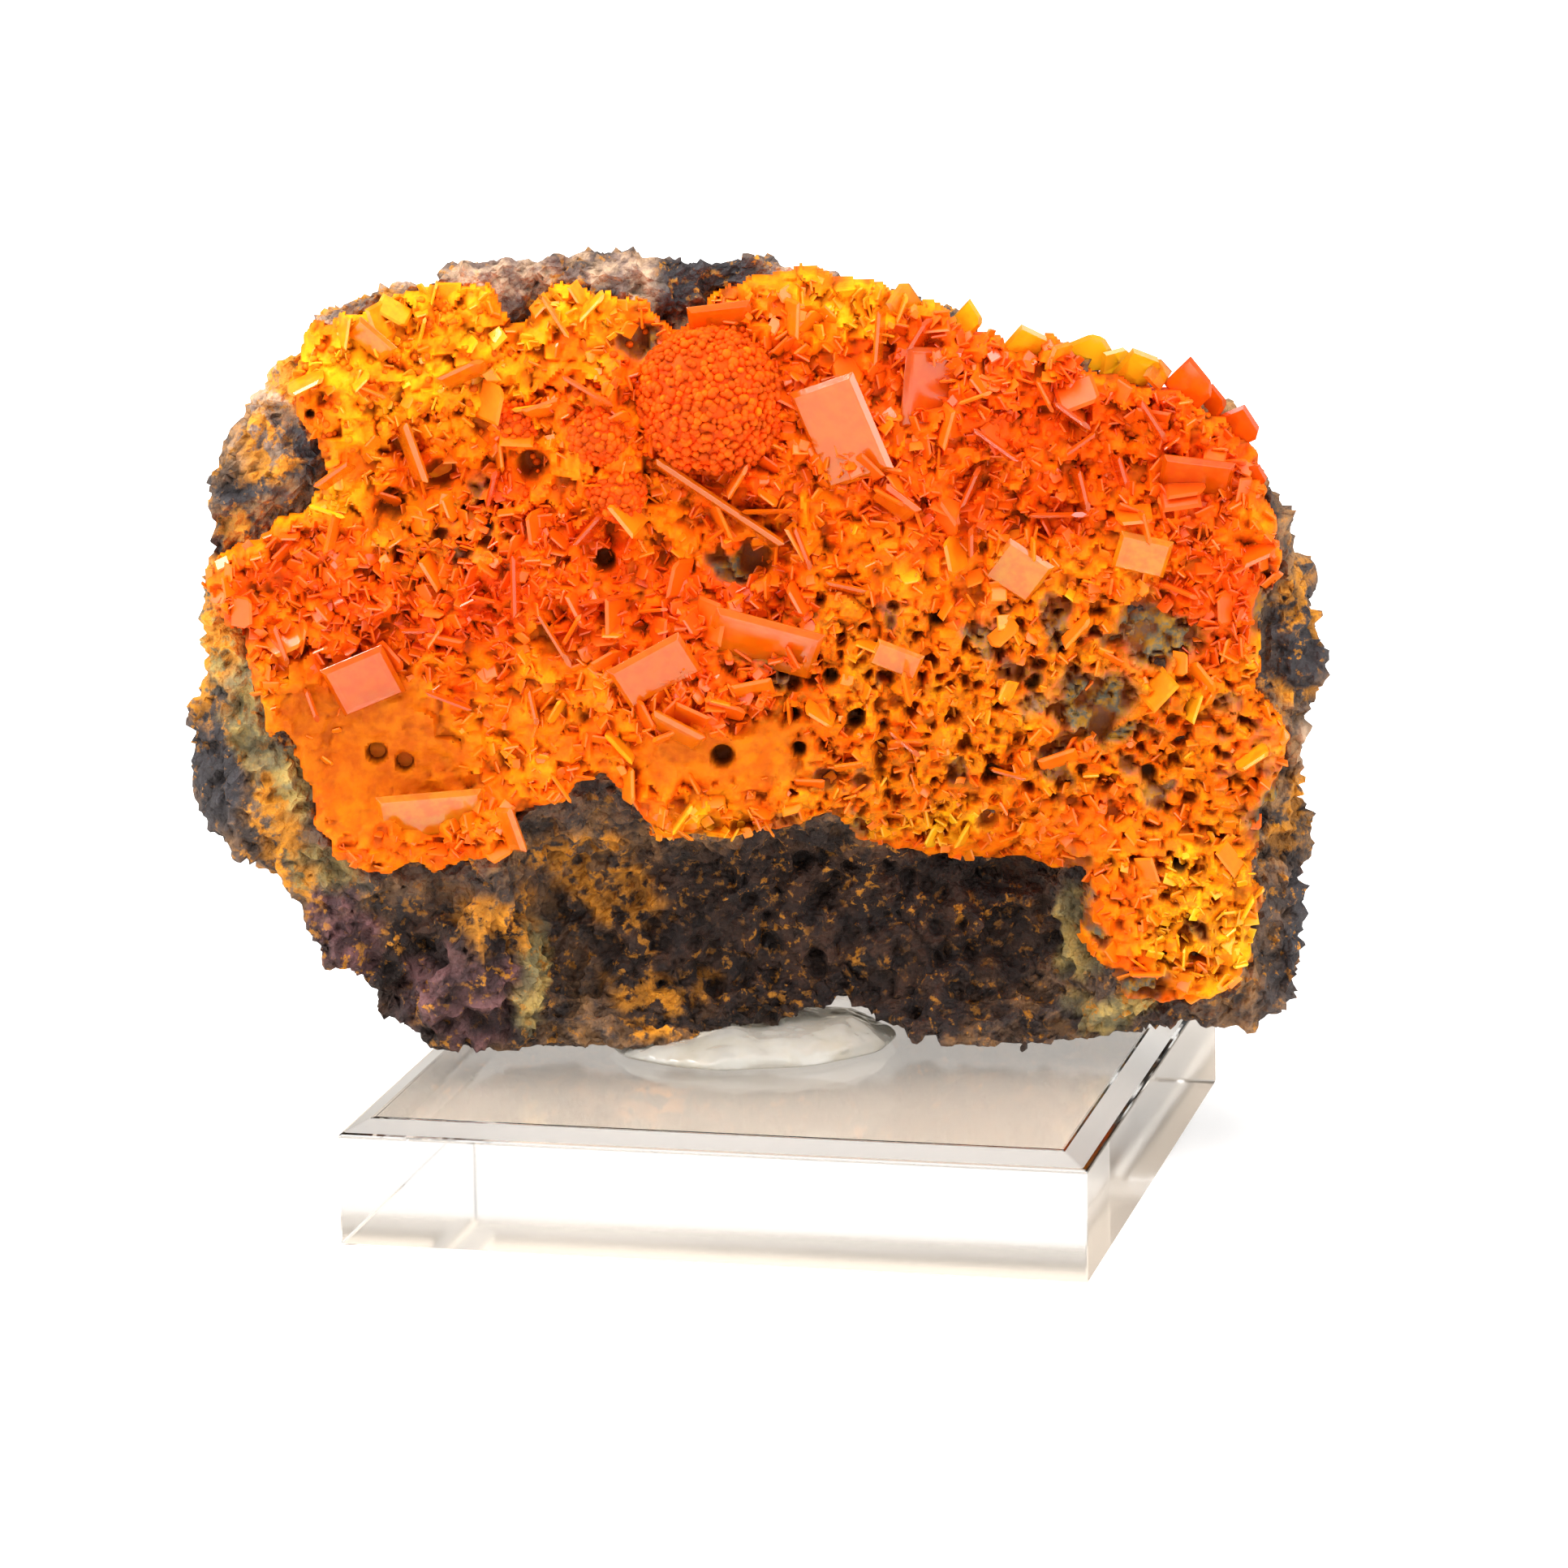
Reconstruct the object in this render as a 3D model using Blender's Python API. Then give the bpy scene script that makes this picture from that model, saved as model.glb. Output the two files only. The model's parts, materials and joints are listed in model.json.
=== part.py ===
"""Wulfenite with mimetite: a crystal crust on its matrix, tacked to a clear acrylic base.

Metres, +Z up. The origin is the middle of the base's underside, and the base faces -Y. The
specimen stands on it turned a little about +Z. Its own axes are u, to the right along its crystal
face, v, away from the viewer into the rock, and z, up. Sizes below are real ones.
"""

import math
import random

import bmesh
import bpy
import numpy as np
from mathutils import Matrix, Vector, noise
from mathutils.bvhtree import BVHTree

MM = 0.001

# Display base: a square block whose top edge is bevelled
BASE_SIDE = 76.2 * MM
BASE_HEIGHT = 12.7 * MM
BASE_BEVEL_IN = 2.9 * MM
BASE_BEVEL_DOWN = 1.3 * MM

# Specimen as a whole
SPECIMEN_TURN = math.radians(13.4)
TOUCH_GAP = 0.3 * MM
ROCK_CLEARANCE = 0.45 * MM

# Matrix rock: a slab with a broken outline, seen from the front as (u, z) in millimetres
ROCK_CENTRE = (-3.0, 56.0)
ROCK_OUTLINE = [
    (-59.5, 63), (-58.0, 72), (-54, 81.5), (-48.5, 87.5), (-43.5, 91.5), (-39, 94), (-34, 95.5),
    (-29, 97), (-21.5, 97), (-10, 96), (0, 94.5), (9.5, 92.5), (16.5, 89.5), (23.5, 86.5), (29, 84.5),
    (33.5, 83.5), (39, 82.5), (43.5, 80), (46, 75.5), (48, 71), (51.5, 63.5), (55, 56), (54, 52),
    (52.5, 48), (53, 41.5), (52, 34), (53, 27), (51, 21), (48.5, 17), (42.5, 15.5), (33.5, 14.5),
    (21, 14.5), (11.5, 14.5), (8, 16.5), (5, 17.5), (2, 16.5), (-1.5, 15.5), (-9, 15), (-18.5, 14.5),
    (-23.5, 14), (-32, 14), (-38, 14.5), (-42, 18.5), (-48, 23.5), (-53, 31.5), (-56.5, 36),
    (-59.5, 40.5), (-61.5, 45.5), (-61.5, 49.5), (-59.5, 53), (-59.5, 57),
]
ROCK_HALF_WIDTH = 59.0
ROCK_HALF_HEIGHT = 43.0
ROCK_FRONT = -10.5
ROCK_BACK = 25.0
ROCK_LOWEST = 13.7
ROCK_CELLS = (26, 8, 19)
SNAP_SHARE = 0.33
ROCK_RIM_PULL = 0.07
ROCK_TOP_FALL = 0.2
ROCK_DOME = 3.0
ROCK_LUMP = 1.7
ROCK_LUMP_SIZE = 14.0
ROCK_CHIP = 0.65
ROCK_CHIP_SIZE = 9.0
ROCK_CHIP_SLOPE = 0.2
LEDGE_HEIGHT = 7.0
LEDGE_STEP = 1.1
RIM_DIP = 1.0

# Broad rises and dips of the broken back
BACK_RELIEF = [
    # u, z, radius, how far the back falls short there
    (-30.0, 100.0, 34.0, 10.0),
    (50.0, 92.0, 26.0, 7.0),
    (-62.0, 40.0, 22.0, 6.0),
    (40.0, 20.0, 20.0, 5.0),
    (5.0, 48.0, 16.0, -2.5),
]

# The dark hollow under the crust's lower lip, and broad rises and dips of the front
RECESS_DEPTH = 8.5
RECESS_SIDES = (-27.0, 30.0)
RECESS_TOP = 39.5
RECESS_FOOT = (14.0, 22.0)
RECESS_FADE = 3.0
FRONT_RELIEF = [
    # u, z, radius, height towards the viewer
    (-40.0, 45.0, 9.0, -2.6),
    (-14.0, 55.0, 13.0, 2.6),
    (7.0, 53.5, 9.0, 1.2),
    (-18.0, 66.0, 4.5, -2.4),
    (-3.0, 66.0, 4.5, -2.6),
    (-35.0, 75.0, 4.5, -2.0),
    (22.5, 78.5, 14.0, 2.2),
    (33.0, 48.0, 6.0, -2.0),
    (-46.0, 82.0, 9.0, 1.2),
    (41.0, 28.5, 9.0, 1.6),
]

# Crust of mimetite and wulfenite: its edge as (u, z) in millimetres
CRUST_EDGE = [
    (-50.0, 84.5), (-47.0, 90.0), (-42.0, 92.0), (-35.5, 94.0), (-29.5, 94.0), (-26.5, 90.5),
    (-22.0, 94.0), (-13.5, 93.0), (-10.5, 89.5), (-3.0, 94.5), (3.0, 95.5), (11.0, 94.5), (19.0, 91.5),
    (27.0, 87.5), (33.5, 86.0), (39.0, 85.5), (43.5, 82.5), (46.5, 78.0), (48.0, 71.5), (50.5, 64.5),
    (48.5, 59.0), (47.5, 51.5), (50.5, 47.5), (50.0, 41.0), (47.5, 37.5), (47.5, 29.0), (46.5, 20.5),
    (41.0, 18.5), (34.5, 20.0), (30.5, 24.0), (29.5, 32.0), (18.0, 33.0), (12.0, 34.5), (7.0, 36.0),
    (5.0, 40.0), (1.5, 39.0), (-2.0, 36.5), (-8.5, 37.5), (-14.0, 36.5), (-15.5, 43.0), (-20.0, 43.5),
    (-26.5, 40.5), (-30.5, 36.0), (-34.5, 34.0), (-43.0, 34.0), (-47.0, 36.0), (-50.0, 44.5),
    (-53.0, 50.0), (-55.0, 58.0), (-58.0, 61.5), (-58.5, 65.0), (-55.5, 68.0), (-49.0, 71.0),
    (-46.5, 76.0), (-47.5, 80.0),
]
CRUST_THICKNESS = 2.9
CRUST_LUMP = 1.1
CRUST_LIP_OVERHANG = 0.9
CRUST_LIP_ROOM = 0.16
CRUST_LIP_THINNING = 0.72

# Pits in the crust: u, z, radius, depth in millimetres
CRUST_PITS = [
    (-42.0, 46.3, 1.1, 1.3), (-39.2, 45.3, 1.0, 1.2), (-46.6, 85.3, 1.0, 1.1),
    (-39.7, 72.2, 1.9, 1.6), (-34.8, 75.2, 1.9, 1.7), (-18.3, 66.4, 1.3, 1.5), (-3.1, 66.1, 2.0, 1.8),
    (-6.8, 46.9, 1.3, 1.4), (6.7, 50.3, 1.1, 1.2), (15.1, 60.1, 0.9, 1.2), (24.6, 53.0, 0.9, 1.2),
    (31.6, 48.1, 1.5, 1.4), (20.5, 43.8, 1.0, 1.2), (36.5, 43.0, 0.9, 1.1), (39.5, 33.9, 0.9, 1.1),
]

# Rounded mimetite growths: u, z, radius
MIMETITE_BALLS = [(-7.6, 82.4, 7.8), (-18.5, 79.4, 2.8), (-16.8, 73.6, 2.8), (-26.8, 80.4, 2.2)]
BALL_LUMP = 0.07
BALL_SINK = 0.15

# Wulfenite tablets. Each lies by its middle (u, z), its length, and its roll, which is how far the
# length rises over the u axis. Its opening is 0 degrees edge-on to the viewer and 90 face-on.
# Large tablets, each a crystal of its own: u, z, length, height, thickness, roll, opening
LARGE_TABLETS = [
    (5.7, 79.7, 10.6, 7.4, 1.1, -68.0, 68.0),
    (-6.9, 72.3, 15.4, 5.0, 0.8, -35.0, 16.0),
    (-13.4, 56.1, 8.2, 5.4, 1.0, 28.0, 66.0),
    (-2.4, 58.4, 11.2, 7.0, 1.1, -16.0, 52.0),
    (23.3, 64.9, 5.4, 5.2, 0.9, -34.0, 70.0),
    (35.7, 66.5, 5.4, 4.6, 0.9, -14.0, 64.0),
    (-42.9, 54.6, 6.8, 6.6, 1.0, 22.0, 62.0),
    (-36.5, 40.1, 10.8, 6.4, 1.0, 4.0, 54.0),
    (-28.3, 39.2, 4.8, 3.4, 0.8, -72.0, 30.0),
    (-6.2, 90.6, 6.4, 3.8, 0.9, 6.0, 60.0),
    (41.2, 74.2, 7.2, 5.2, 0.9, -8.0, 48.0),
    (14.8, 83.5, 8.2, 6.2, 1.0, 84.0, 70.0),
    (10.9, 56.4, 5.0, 3.0, 0.7, -22.0, 72.0),
    (-41.0, 89.3, 4.8, 3.2, 0.7, -42.0, 52.0),
    (-11.5, 49.9, 5.8, 3.8, 0.8, -29.0, 36.0),
    (-37.4, 77.7, 6.4, 3.4, 0.8, -72.0, 24.0),
    (11.1, 72.4, 4.4, 3.6, 0.8, -38.0, 40.0),
]
TABLET_BEVEL = 0.45
TABLET_STAND = 0.45

# Small tablets fused into the crust: u, z, length, roll, opening
SMALL_TABLETS = [
    (-19.6, 84.1, 6.0, -32.0, 10.0), (-22.8, 91.4, 5.0, -59.0, 10.0), (-29.2, 74.1, 3.8, 76.0, 10.0),
    (9.6, 89.0, 5.5, 85.0, 12.0), (14.0, 88.8, 3.8, 58.0, 25.0), (-1.6, 71.6, 5.7, 0.0, 10.0),
    (20.8, 78.1, 5.7, -37.0, 12.0), (29.7, 77.9, 3.5, 35.0, 10.0), (29.6, 73.1, 4.5, -77.0, 12.0),
    (27.2, 70.6, 5.9, 0.0, 8.0), (33.6, 74.9, 3.6, -74.0, 10.0), (28.6, 80.6, 4.6, -37.0, 12.0),
    (18.7, 68.3, 3.0, 90.0, 10.0), (-34.2, 52.9, 5.0, -22.0, 8.0), (-48.2, 52.2, 3.6, -72.0, 10.0),
    (-37.0, 59.9, 3.5, 0.0, 8.0), (-51.5, 58.2, 4.6, -72.0, 25.0), (-25.8, 52.3, 3.9, -79.0, 8.0),
    (-23.6, 59.2, 7.0, -60.0, 10.0), (-27.0, 65.2, 6.4, 90.0, 10.0), (-18.1, 63.1, 5.7, 10.0, 8.0),
    (11.5, 47.7, 4.2, -42.0, 8.0), (22.0, 44.0, 3.7, -17.0, 10.0), (5.8, 63.6, 4.2, -14.0, 20.0),
    (-31.9, 85.8, 5.0, 24.0, 30.0), (-45.0, 75.8, 4.2, 35.0, 20.0), (18.8, 73.7, 4.6, 66.0, 14.0),
    (36.6, 79.8, 5.0, -58.0, 16.0), (1.4, 67.7, 4.8, -70.0, 14.0), (-19.4, 70.0, 4.6, 48.0, 18.0),
]
SMALL_TABLET_HEIGHT = 3.6
FILL_TABLET_COUNT = 24
FILL_TABLET_TRIES = 4000
FILL_TABLET_LENGTH = (2.8, 5.0)
FILL_TABLET_OPENING = 55.0
TABLET_THICKNESS = (0.5, 0.8)
TABLET_ROOM = 1.0
EDGE_ROOM = 3.0
RIM_TABLETS = [
    # u, z, side, lean to the right in degrees, on the crust's top edge
    (23.9, 86.5, 4.6, 12.0), (31.2, 85.0, 5.0, -6.0), (35.8, 83.4, 4.8, 18.0), (40.3, 82.0, 5.0, 4.0),
    (12.6, 91.0, 3.8, -20.0), (45.0, 78.0, 4.2, 38.0),
]
RIM_TABLET_THICKNESS = 0.8
RIM_TABLET_BACK_TIP = 25.0
RIM_TABLET_RISE = 0.22

# Mounting tack: a squeezed cake under the rock with a rounded bump in the rock's notch
PUTTY_CENTRE = (-4.5, -1.0, 13.6)
PUTTY_RADII = (14.6, 11.4, 2.6)
PUTTY_LUMP = 0.10
PUTTY_BUMP = (6.4, -5.6, 2.8, 2.2)

SEED = 20
LUMP_SEED = Vector((3.1, 7.7, 1.9))
CHIP_SEED = Vector((41.3, 5.2, 18.6))
CRUST_SEED = Vector((12.4, 30.5, 9.7))


def clear_scene():
    for obj in list(bpy.data.objects):
        bpy.data.objects.remove(obj)


def new_collection(name):
    collection = bpy.data.collections.new(name)
    bpy.context.scene.collection.children.link(collection)
    return collection


def principled(name, colour, roughness, metallic=0.0, transmission=0.0, ior=1.5):
    material = bpy.data.materials.new(name)
    material.use_nodes = True
    shader = material.node_tree.nodes["Principled BSDF"]
    shader.inputs["Base Color"].default_value = (*colour, 1.0)
    shader.inputs["Roughness"].default_value = roughness
    shader.inputs["Metallic"].default_value = metallic
    shader.inputs["Transmission Weight"].default_value = transmission
    shader.inputs["IOR"].default_value = ior
    return material


def add_object(name, bm, collection, material=None):
    """Puts a bmesh, in metres, into a new object of the collection."""
    mesh = bpy.data.meshes.new(name)
    bm.to_mesh(mesh)
    bm.free()
    obj = bpy.data.objects.new(name, mesh)
    collection.objects.link(obj)
    if material:
        mesh.materials.append(material)
    return obj


def add_cutter(name, bm, collection):
    obj = add_object(name, bm, collection)
    obj.hide_render = True
    obj.display_type = "WIRE"
    return obj


def add_boolean(obj, operation, cutter, self_overlap=False):
    modifier = obj.modifiers.new(f"{operation.lower()} {cutter.name}", "BOOLEAN")
    modifier.operation = operation
    modifier.object = cutter
    modifier.solver = "EXACT"
    modifier.use_self = self_overlap


def connected_bodies(bm):
    """The mesh's vertices, as one list for each body that hangs together."""
    bodies = []
    seen = set()
    for start in bm.verts:
        if start in seen:
            continue
        seen.add(start)
        body = [start]
        for vert in body:
            for edge in vert.link_edges:
                other = edge.other_vert(vert)
                if other not in seen:
                    seen.add(other)
                    body.append(other)
        bodies.append(body)
    return bodies


def apply_and_drop_crumbs(obj):
    """Applies the modifiers and drops the crumbs that a pocket cut loose."""
    depsgraph = bpy.context.evaluated_depsgraph_get()
    mesh = bpy.data.meshes.new_from_object(obj.evaluated_get(depsgraph))
    obj.modifiers.clear()
    obj.data = mesh
    bm = bmesh.new()
    bm.from_mesh(mesh)
    crumbs = sorted(connected_bodies(bm), key=len)[:-1]
    bmesh.ops.delete(bm, geom=[vert for crumb in crumbs for vert in crumb], context="VERTS")
    bm.to_mesh(mesh)
    bm.free()


def place_in_world(bm):
    """Turns the specimen's own axes, in millimetres, into world metres."""
    bmesh.ops.transform(
        bm,
        matrix=Matrix.Rotation(SPECIMEN_TURN, 4, "Z") @ Matrix.Scale(MM, 4),
        verts=bm.verts,
    )


def smooth_step(value, low, high):
    """0 below low, 1 above high, and a smooth rise between them."""
    t = min(max((value - low) / (high - low), 0.0), 1.0)
    return t * t * (3.0 - 2.0 * t)


def rim_radius(angle):
    """Distance from the rock's centre to its outline in the direction of the angle."""
    offsets = np.array(ROCK_OUTLINE) - ROCK_CENTRE
    angles = np.arctan2(offsets[:, 1], offsets[:, 0])
    order = np.argsort(angles)
    return np.interp(
        angle, angles[order], np.hypot(*offsets.T)[order], period=2.0 * math.pi
    )


def outline_point(x, z):
    """Maps a square's point to the rock's outline, so that nested squares become nested rims."""
    ring = max(abs(x), abs(z))
    angle = math.atan2(z * ROCK_HALF_HEIGHT, x * ROCK_HALF_WIDTH)
    reach = ring * rim_radius(angle)
    return ROCK_CENTRE[0] + reach * math.cos(angle), ROCK_CENTRE[1] + reach * math.sin(angle), ring


def front_depth(u, z, ring):
    """Depth v of the rock's front, before the small lumps."""
    in_sides = smooth_step(u, RECESS_SIDES[0] - RECESS_FADE, RECESS_SIDES[0] + RECESS_FADE)
    in_sides *= 1.0 - smooth_step(u, RECESS_SIDES[1] - RECESS_FADE, RECESS_SIDES[1] + RECESS_FADE)
    under_lip = 1.0 - smooth_step(z, RECESS_TOP - 2.0 * RECESS_FADE, RECESS_TOP)
    over_foot = smooth_step(z, *RECESS_FOOT)
    depth = ROCK_FRONT + ROCK_DOME * ring**4 + RECESS_DEPTH * in_sides * under_lip * over_foot
    for at_u, at_z, radius, height in FRONT_RELIEF:
        distance = math.hypot(u - at_u, z - at_z)
        depth -= height * math.exp(-((distance / radius) ** 2))
    return depth


def lumps(point):
    """Rounded lumps broken into flat chips, each with a height and a slope of its own."""
    rounded = noise.fractal(point / ROCK_LUMP_SIZE + LUMP_SEED, 0.9, 2.1, 2)
    here = point / ROCK_CHIP_SIZE + CHIP_SEED
    middle = noise.voronoi(here)[1][0]
    slope = noise.cell_vector(middle * 7.3) * 2.0 - Vector((1.0, 1.0, 1.0))
    height = 2.0 * noise.cell(middle * 5.1 + LUMP_SEED) - 1.0
    tilt = (here - middle).dot(slope) * ROCK_CHIP_SLOPE * ROCK_CHIP_SIZE
    return ROCK_LUMP * rounded + ROCK_CHIP * height + tilt


def ledges(v):
    """How far the rock's side stands out at a depth: layers that break off in steps."""
    layer = v / LEDGE_HEIGHT
    edge = smooth_step(layer - math.floor(layer), 0.7, 1.0)
    this = noise.cell(Vector((math.floor(layer), 0.5, 0.5)) * 3.7)
    following = noise.cell(Vector((math.floor(layer) + 1.0, 0.5, 0.5)) * 3.7)
    return LEDGE_STEP * (2.0 * (this + (following - this) * edge) - 1.0)


def back_depth(u, z, ring):
    """Depth v of the rock's back, before the small lumps."""
    depth = ROCK_BACK - ROCK_DOME * ring**4
    for at_u, at_z, radius, cut in BACK_RELIEF:
        distance = math.hypot(u - at_u, z - at_z)
        depth -= cut * math.exp(-((distance / radius) ** 2))
    return depth


def inside(u, z, outline):
    """Whether a point lies in a closed outline, by counting the edges to its right."""
    crossings = 0
    for (u0, z0), (u1, z1) in zip(outline, outline[1:] + outline[:1]):
        if (z0 > z) != (z1 > z) and u < u0 + (z - z0) * (u1 - u0) / (z1 - z0):
            crossings += 1
    return crossings % 2 == 1


def nearest_on_edge(u, z, outline):
    """The closest point of a closed outline, and its distance."""
    here = Vector((u, z))
    best = None
    for start, end in zip(outline, outline[1:] + outline[:1]):
        start, end = Vector(start), Vector(end)
        run = end - start
        along = min(max((here - start).dot(run) / run.length_squared, 0.0), 1.0)
        point = start + run * along
        distance = (point - here).length
        if best is None or distance < best[1]:
            best = (point, distance)
    return best


def build_slab():
    """A box with a grid of cells on each face, and each vertex's place in it from -1 to 1."""
    bm = bmesh.new()
    bmesh.ops.create_cube(bm, size=2.0)
    for axis, cells in enumerate(ROCK_CELLS):
        along = [e for e in bm.edges if abs(e.verts[0].co[axis] - e.verts[1].co[axis]) > 1.0]
        bmesh.ops.subdivide_edges(bm, edges=along, cuts=cells - 1, use_grid_fill=True)
    return bm


def build_rock():
    """The matrix in its own axes: the slab, bent to the outline, hollowed and made rough."""
    bm = build_slab()
    bm.verts.ensure_lookup_table()
    is_front = [v.co.y < -0.999 for v in bm.verts]
    on_rim = [max(abs(v.co.x), abs(v.co.z)) > 0.999 for v in bm.verts]
    snap = SNAP_SHARE * 2.0 * ROCK_HALF_WIDTH / ROCK_CELLS[0]
    for vert, front, rim in zip(bm.verts, is_front, on_rim):
        y = vert.co.y
        u, z, ring = outline_point(vert.co.x, vert.co.z)
        pull = ROCK_RIM_PULL * max(y, 0.0) ** 2.5 * ring
        u += (ROCK_CENTRE[0] - u) * pull
        z += (ROCK_CENTRE[1] - z) * pull
        z -= max(z - ROCK_CENTRE[1], 0.0) * ROCK_TOP_FALL * (y + 1.0) / 2.0
        if front and not rim:
            edge_point, distance = nearest_on_edge(u, z, CRUST_EDGE)
            if distance < snap:
                u, z = edge_point
        front_v = front_depth(u, z, ring)
        back_v = back_depth(u, z, ring)
        vert.co = (u, front_v + (back_v - front_v) * (y + 1.0) / 2.0, z)
    bm.normal_update()
    pushes = []
    for vert, front, rim in zip(bm.verts, is_front, on_rim):
        out = Vector((0.0, -1.0, 0.0)) if front and not rim else vert.normal.copy()
        step = ledges(vert.co.y) if rim and not front else 0.0
        deepest = -RIM_DIP if rim else -ROCK_HALF_HEIGHT
        pushes.append(out * max(lumps(vert.co) + step, deepest))
    for vert, push in zip(bm.verts, pushes):
        vert.co += push
        vert.co.z = max(vert.co.z, ROCK_LOWEST)
    bmesh.ops.recalc_face_normals(bm, faces=bm.faces)
    return bm, is_front


def lip_outward(vert):
    """How the lip overhangs at one of its vertices: out of the crust, less where cells are small."""
    inner = sum((face.calc_center_median() for face in vert.link_faces), Vector()) / len(vert.link_faces)
    room = min(edge.calc_length() for edge in vert.link_edges)
    outward = Vector((vert.co.x - inner.x, 0.0, vert.co.z - inner.z)).normalized()
    return outward * min(CRUST_LIP_OVERHANG, CRUST_LIP_ROOM * room)


def build_crust(rock, is_front):
    """The crust: the rock's front cells inside the crust's edge, moved off it and thickened."""
    bm = rock.copy()
    bm.verts.ensure_lookup_table()
    front_verts = {v for v, front in zip(bm.verts, is_front) if front}
    unwanted = []
    for face in bm.faces:
        centre = face.calc_center_median()
        on_front = all(v in front_verts for v in face.verts)
        if not (on_front and inside(centre.x, centre.z, CRUST_EDGE)):
            unwanted.append(face)
    bmesh.ops.delete(bm, geom=unwanted, context="FACES")
    bmesh.ops.triangulate(bm, faces=bm.faces)
    bmesh.ops.translate(bm, vec=(0.0, -TOUCH_GAP / MM, 0.0), verts=bm.verts)
    lip = {v.co.to_tuple(4): lip_outward(v) for v in bm.verts if v.is_boundary}
    grown = bmesh.ops.extrude_face_region(bm, geom=bm.faces[:])["geom"]
    for vert in (g for g in grown if isinstance(g, bmesh.types.BMVert)):
        outward = lip.get(vert.co.to_tuple(4))
        thickness = CRUST_THICKNESS + CRUST_LUMP * noise.fractal(vert.co / 7.0 + CRUST_SEED, 0.8, 2.2, 3)
        if outward:
            thickness *= CRUST_LIP_THINNING
            vert.co += outward
        vert.co.y -= thickness
    bmesh.ops.recalc_face_normals(bm, faces=bm.faces)
    return bm


def surface_point(tree, u, z):
    """The crust's outer surface in front of (u, z), or its closest point there, and its normal."""
    hit, normal, _, _ = tree.ray_cast(Vector((u, -60.0, z)), Vector((0.0, 1.0, 0.0)))
    if hit is None:
        hit, normal, _, _ = tree.find_nearest(Vector((u, ROCK_FRONT, z)))
    return hit, normal


def tablet_place(tree, u, z, height, roll, opening):
    """Where a tablet stands: its length along X, its flat faces along Y and its height along Z."""
    roll, opening = math.radians(roll), math.radians(opening)
    towards_viewer = Vector((0.0, -1.0, 0.0))
    along = Vector((math.cos(roll), 0.0, math.sin(roll)))
    upright = Vector((-math.sin(roll), 0.0, math.cos(roll)))
    across = upright * math.sin(opening) + towards_viewer * math.cos(opening)
    foot, _ = surface_point(tree, u, z)
    place = Matrix((along, across.cross(along), across)).transposed().to_4x4()
    place.translation = foot + towards_viewer * (TABLET_STAND + 0.25 * height * math.cos(opening))
    return place


def add_plate(bm, length, thickness, height, place):
    """A thin plain tablet in one piece with what it grows from."""
    shape = Matrix.Diagonal((length, thickness, height, 1.0))
    bmesh.ops.create_cube(bm, size=1.0, matrix=place @ shape)


def add_ball(bm, centre, radius, subdivisions):
    """A rounded mimetite growth, lumpy like a raspberry."""
    ball = bmesh.ops.create_icosphere(
        bm, subdivisions=subdivisions, radius=radius, matrix=Matrix.Translation(centre)
    )
    for vert in ball["verts"]:
        out = (vert.co - centre).normalized()
        vert.co += out * radius * BALL_LUMP * noise.noise(vert.co * 1.7 + CRUST_SEED)


def fill_tablets(rng):
    """Places between the listed crystals for a few more: u, z, length, roll, opening."""
    taken = [(u, z, 0.5 * length) for u, z, length, *_ in LARGE_TABLETS + SMALL_TABLETS]
    taken += MIMETITE_BALLS
    edge_u, edge_z = zip(*CRUST_EDGE)
    rows = []
    for _ in range(FILL_TABLET_TRIES):
        u = rng.uniform(min(edge_u), max(edge_u))
        z = rng.uniform(min(edge_z), max(edge_z))
        length = rng.uniform(*FILL_TABLET_LENGTH)
        room = min(math.hypot(u - at_u, z - at_z) - radius for at_u, at_z, radius in taken)
        _, to_edge = nearest_on_edge(u, z, CRUST_EDGE)
        if room < TABLET_ROOM + 0.5 * length or to_edge < EDGE_ROOM or not inside(u, z, CRUST_EDGE):
            continue
        taken.append((u, z, 0.5 * length))
        rows.append((u, z, length, rng.uniform(-90.0, 90.0), rng.uniform(0.0, FILL_TABLET_OPENING)))
        if len(rows) == FILL_TABLET_COUNT:
            break
    return rows


def build_growths(tree):
    """All that grew out of the crust in one piece with it: the balls and the small tablets."""
    bm = bmesh.new()
    rng = random.Random(SEED)
    for u, z, radius in MIMETITE_BALLS:
        foot, _ = surface_point(tree, u, z)
        centre = foot + Vector((0.0, BALL_SINK * radius, 0.0))
        add_ball(bm, centre, radius, 3 if radius > 5.0 else 2)
    for u, z, side, lean in RIM_TABLETS:
        foot, _ = surface_point(tree, u, z)
        lean_right = Matrix.Rotation(math.radians(lean), 4, "Y")
        tip_back = Matrix.Rotation(math.radians(RIM_TABLET_BACK_TIP), 4, "X")
        rise = Matrix.Translation((0.0, 0.0, side * RIM_TABLET_RISE))
        turn = Matrix.Rotation(rng.uniform(-0.9, 0.9), 4, "Z")
        place = Matrix.Translation(foot) @ lean_right @ tip_back @ rise @ turn
        add_plate(bm, side, RIM_TABLET_THICKNESS, side, place)
    for u, z, length, roll, opening in SMALL_TABLETS + fill_tablets(rng):
        height = SMALL_TABLET_HEIGHT
        place = tablet_place(tree, u, z, height, roll, opening)
        add_plate(bm, length, rng.uniform(*TABLET_THICKNESS), height, place)
    return bm


def build_pits(tree):
    bm = bmesh.new()
    for u, z, radius, depth in CRUST_PITS:
        mouth, _ = surface_point(tree, u, z)
        shape = Matrix.Diagonal((radius, depth, radius, 1.0))
        bmesh.ops.create_icosphere(bm, subdivisions=1, radius=1.0, matrix=Matrix.Translation(mouth) @ shape)
    return bm


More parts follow.
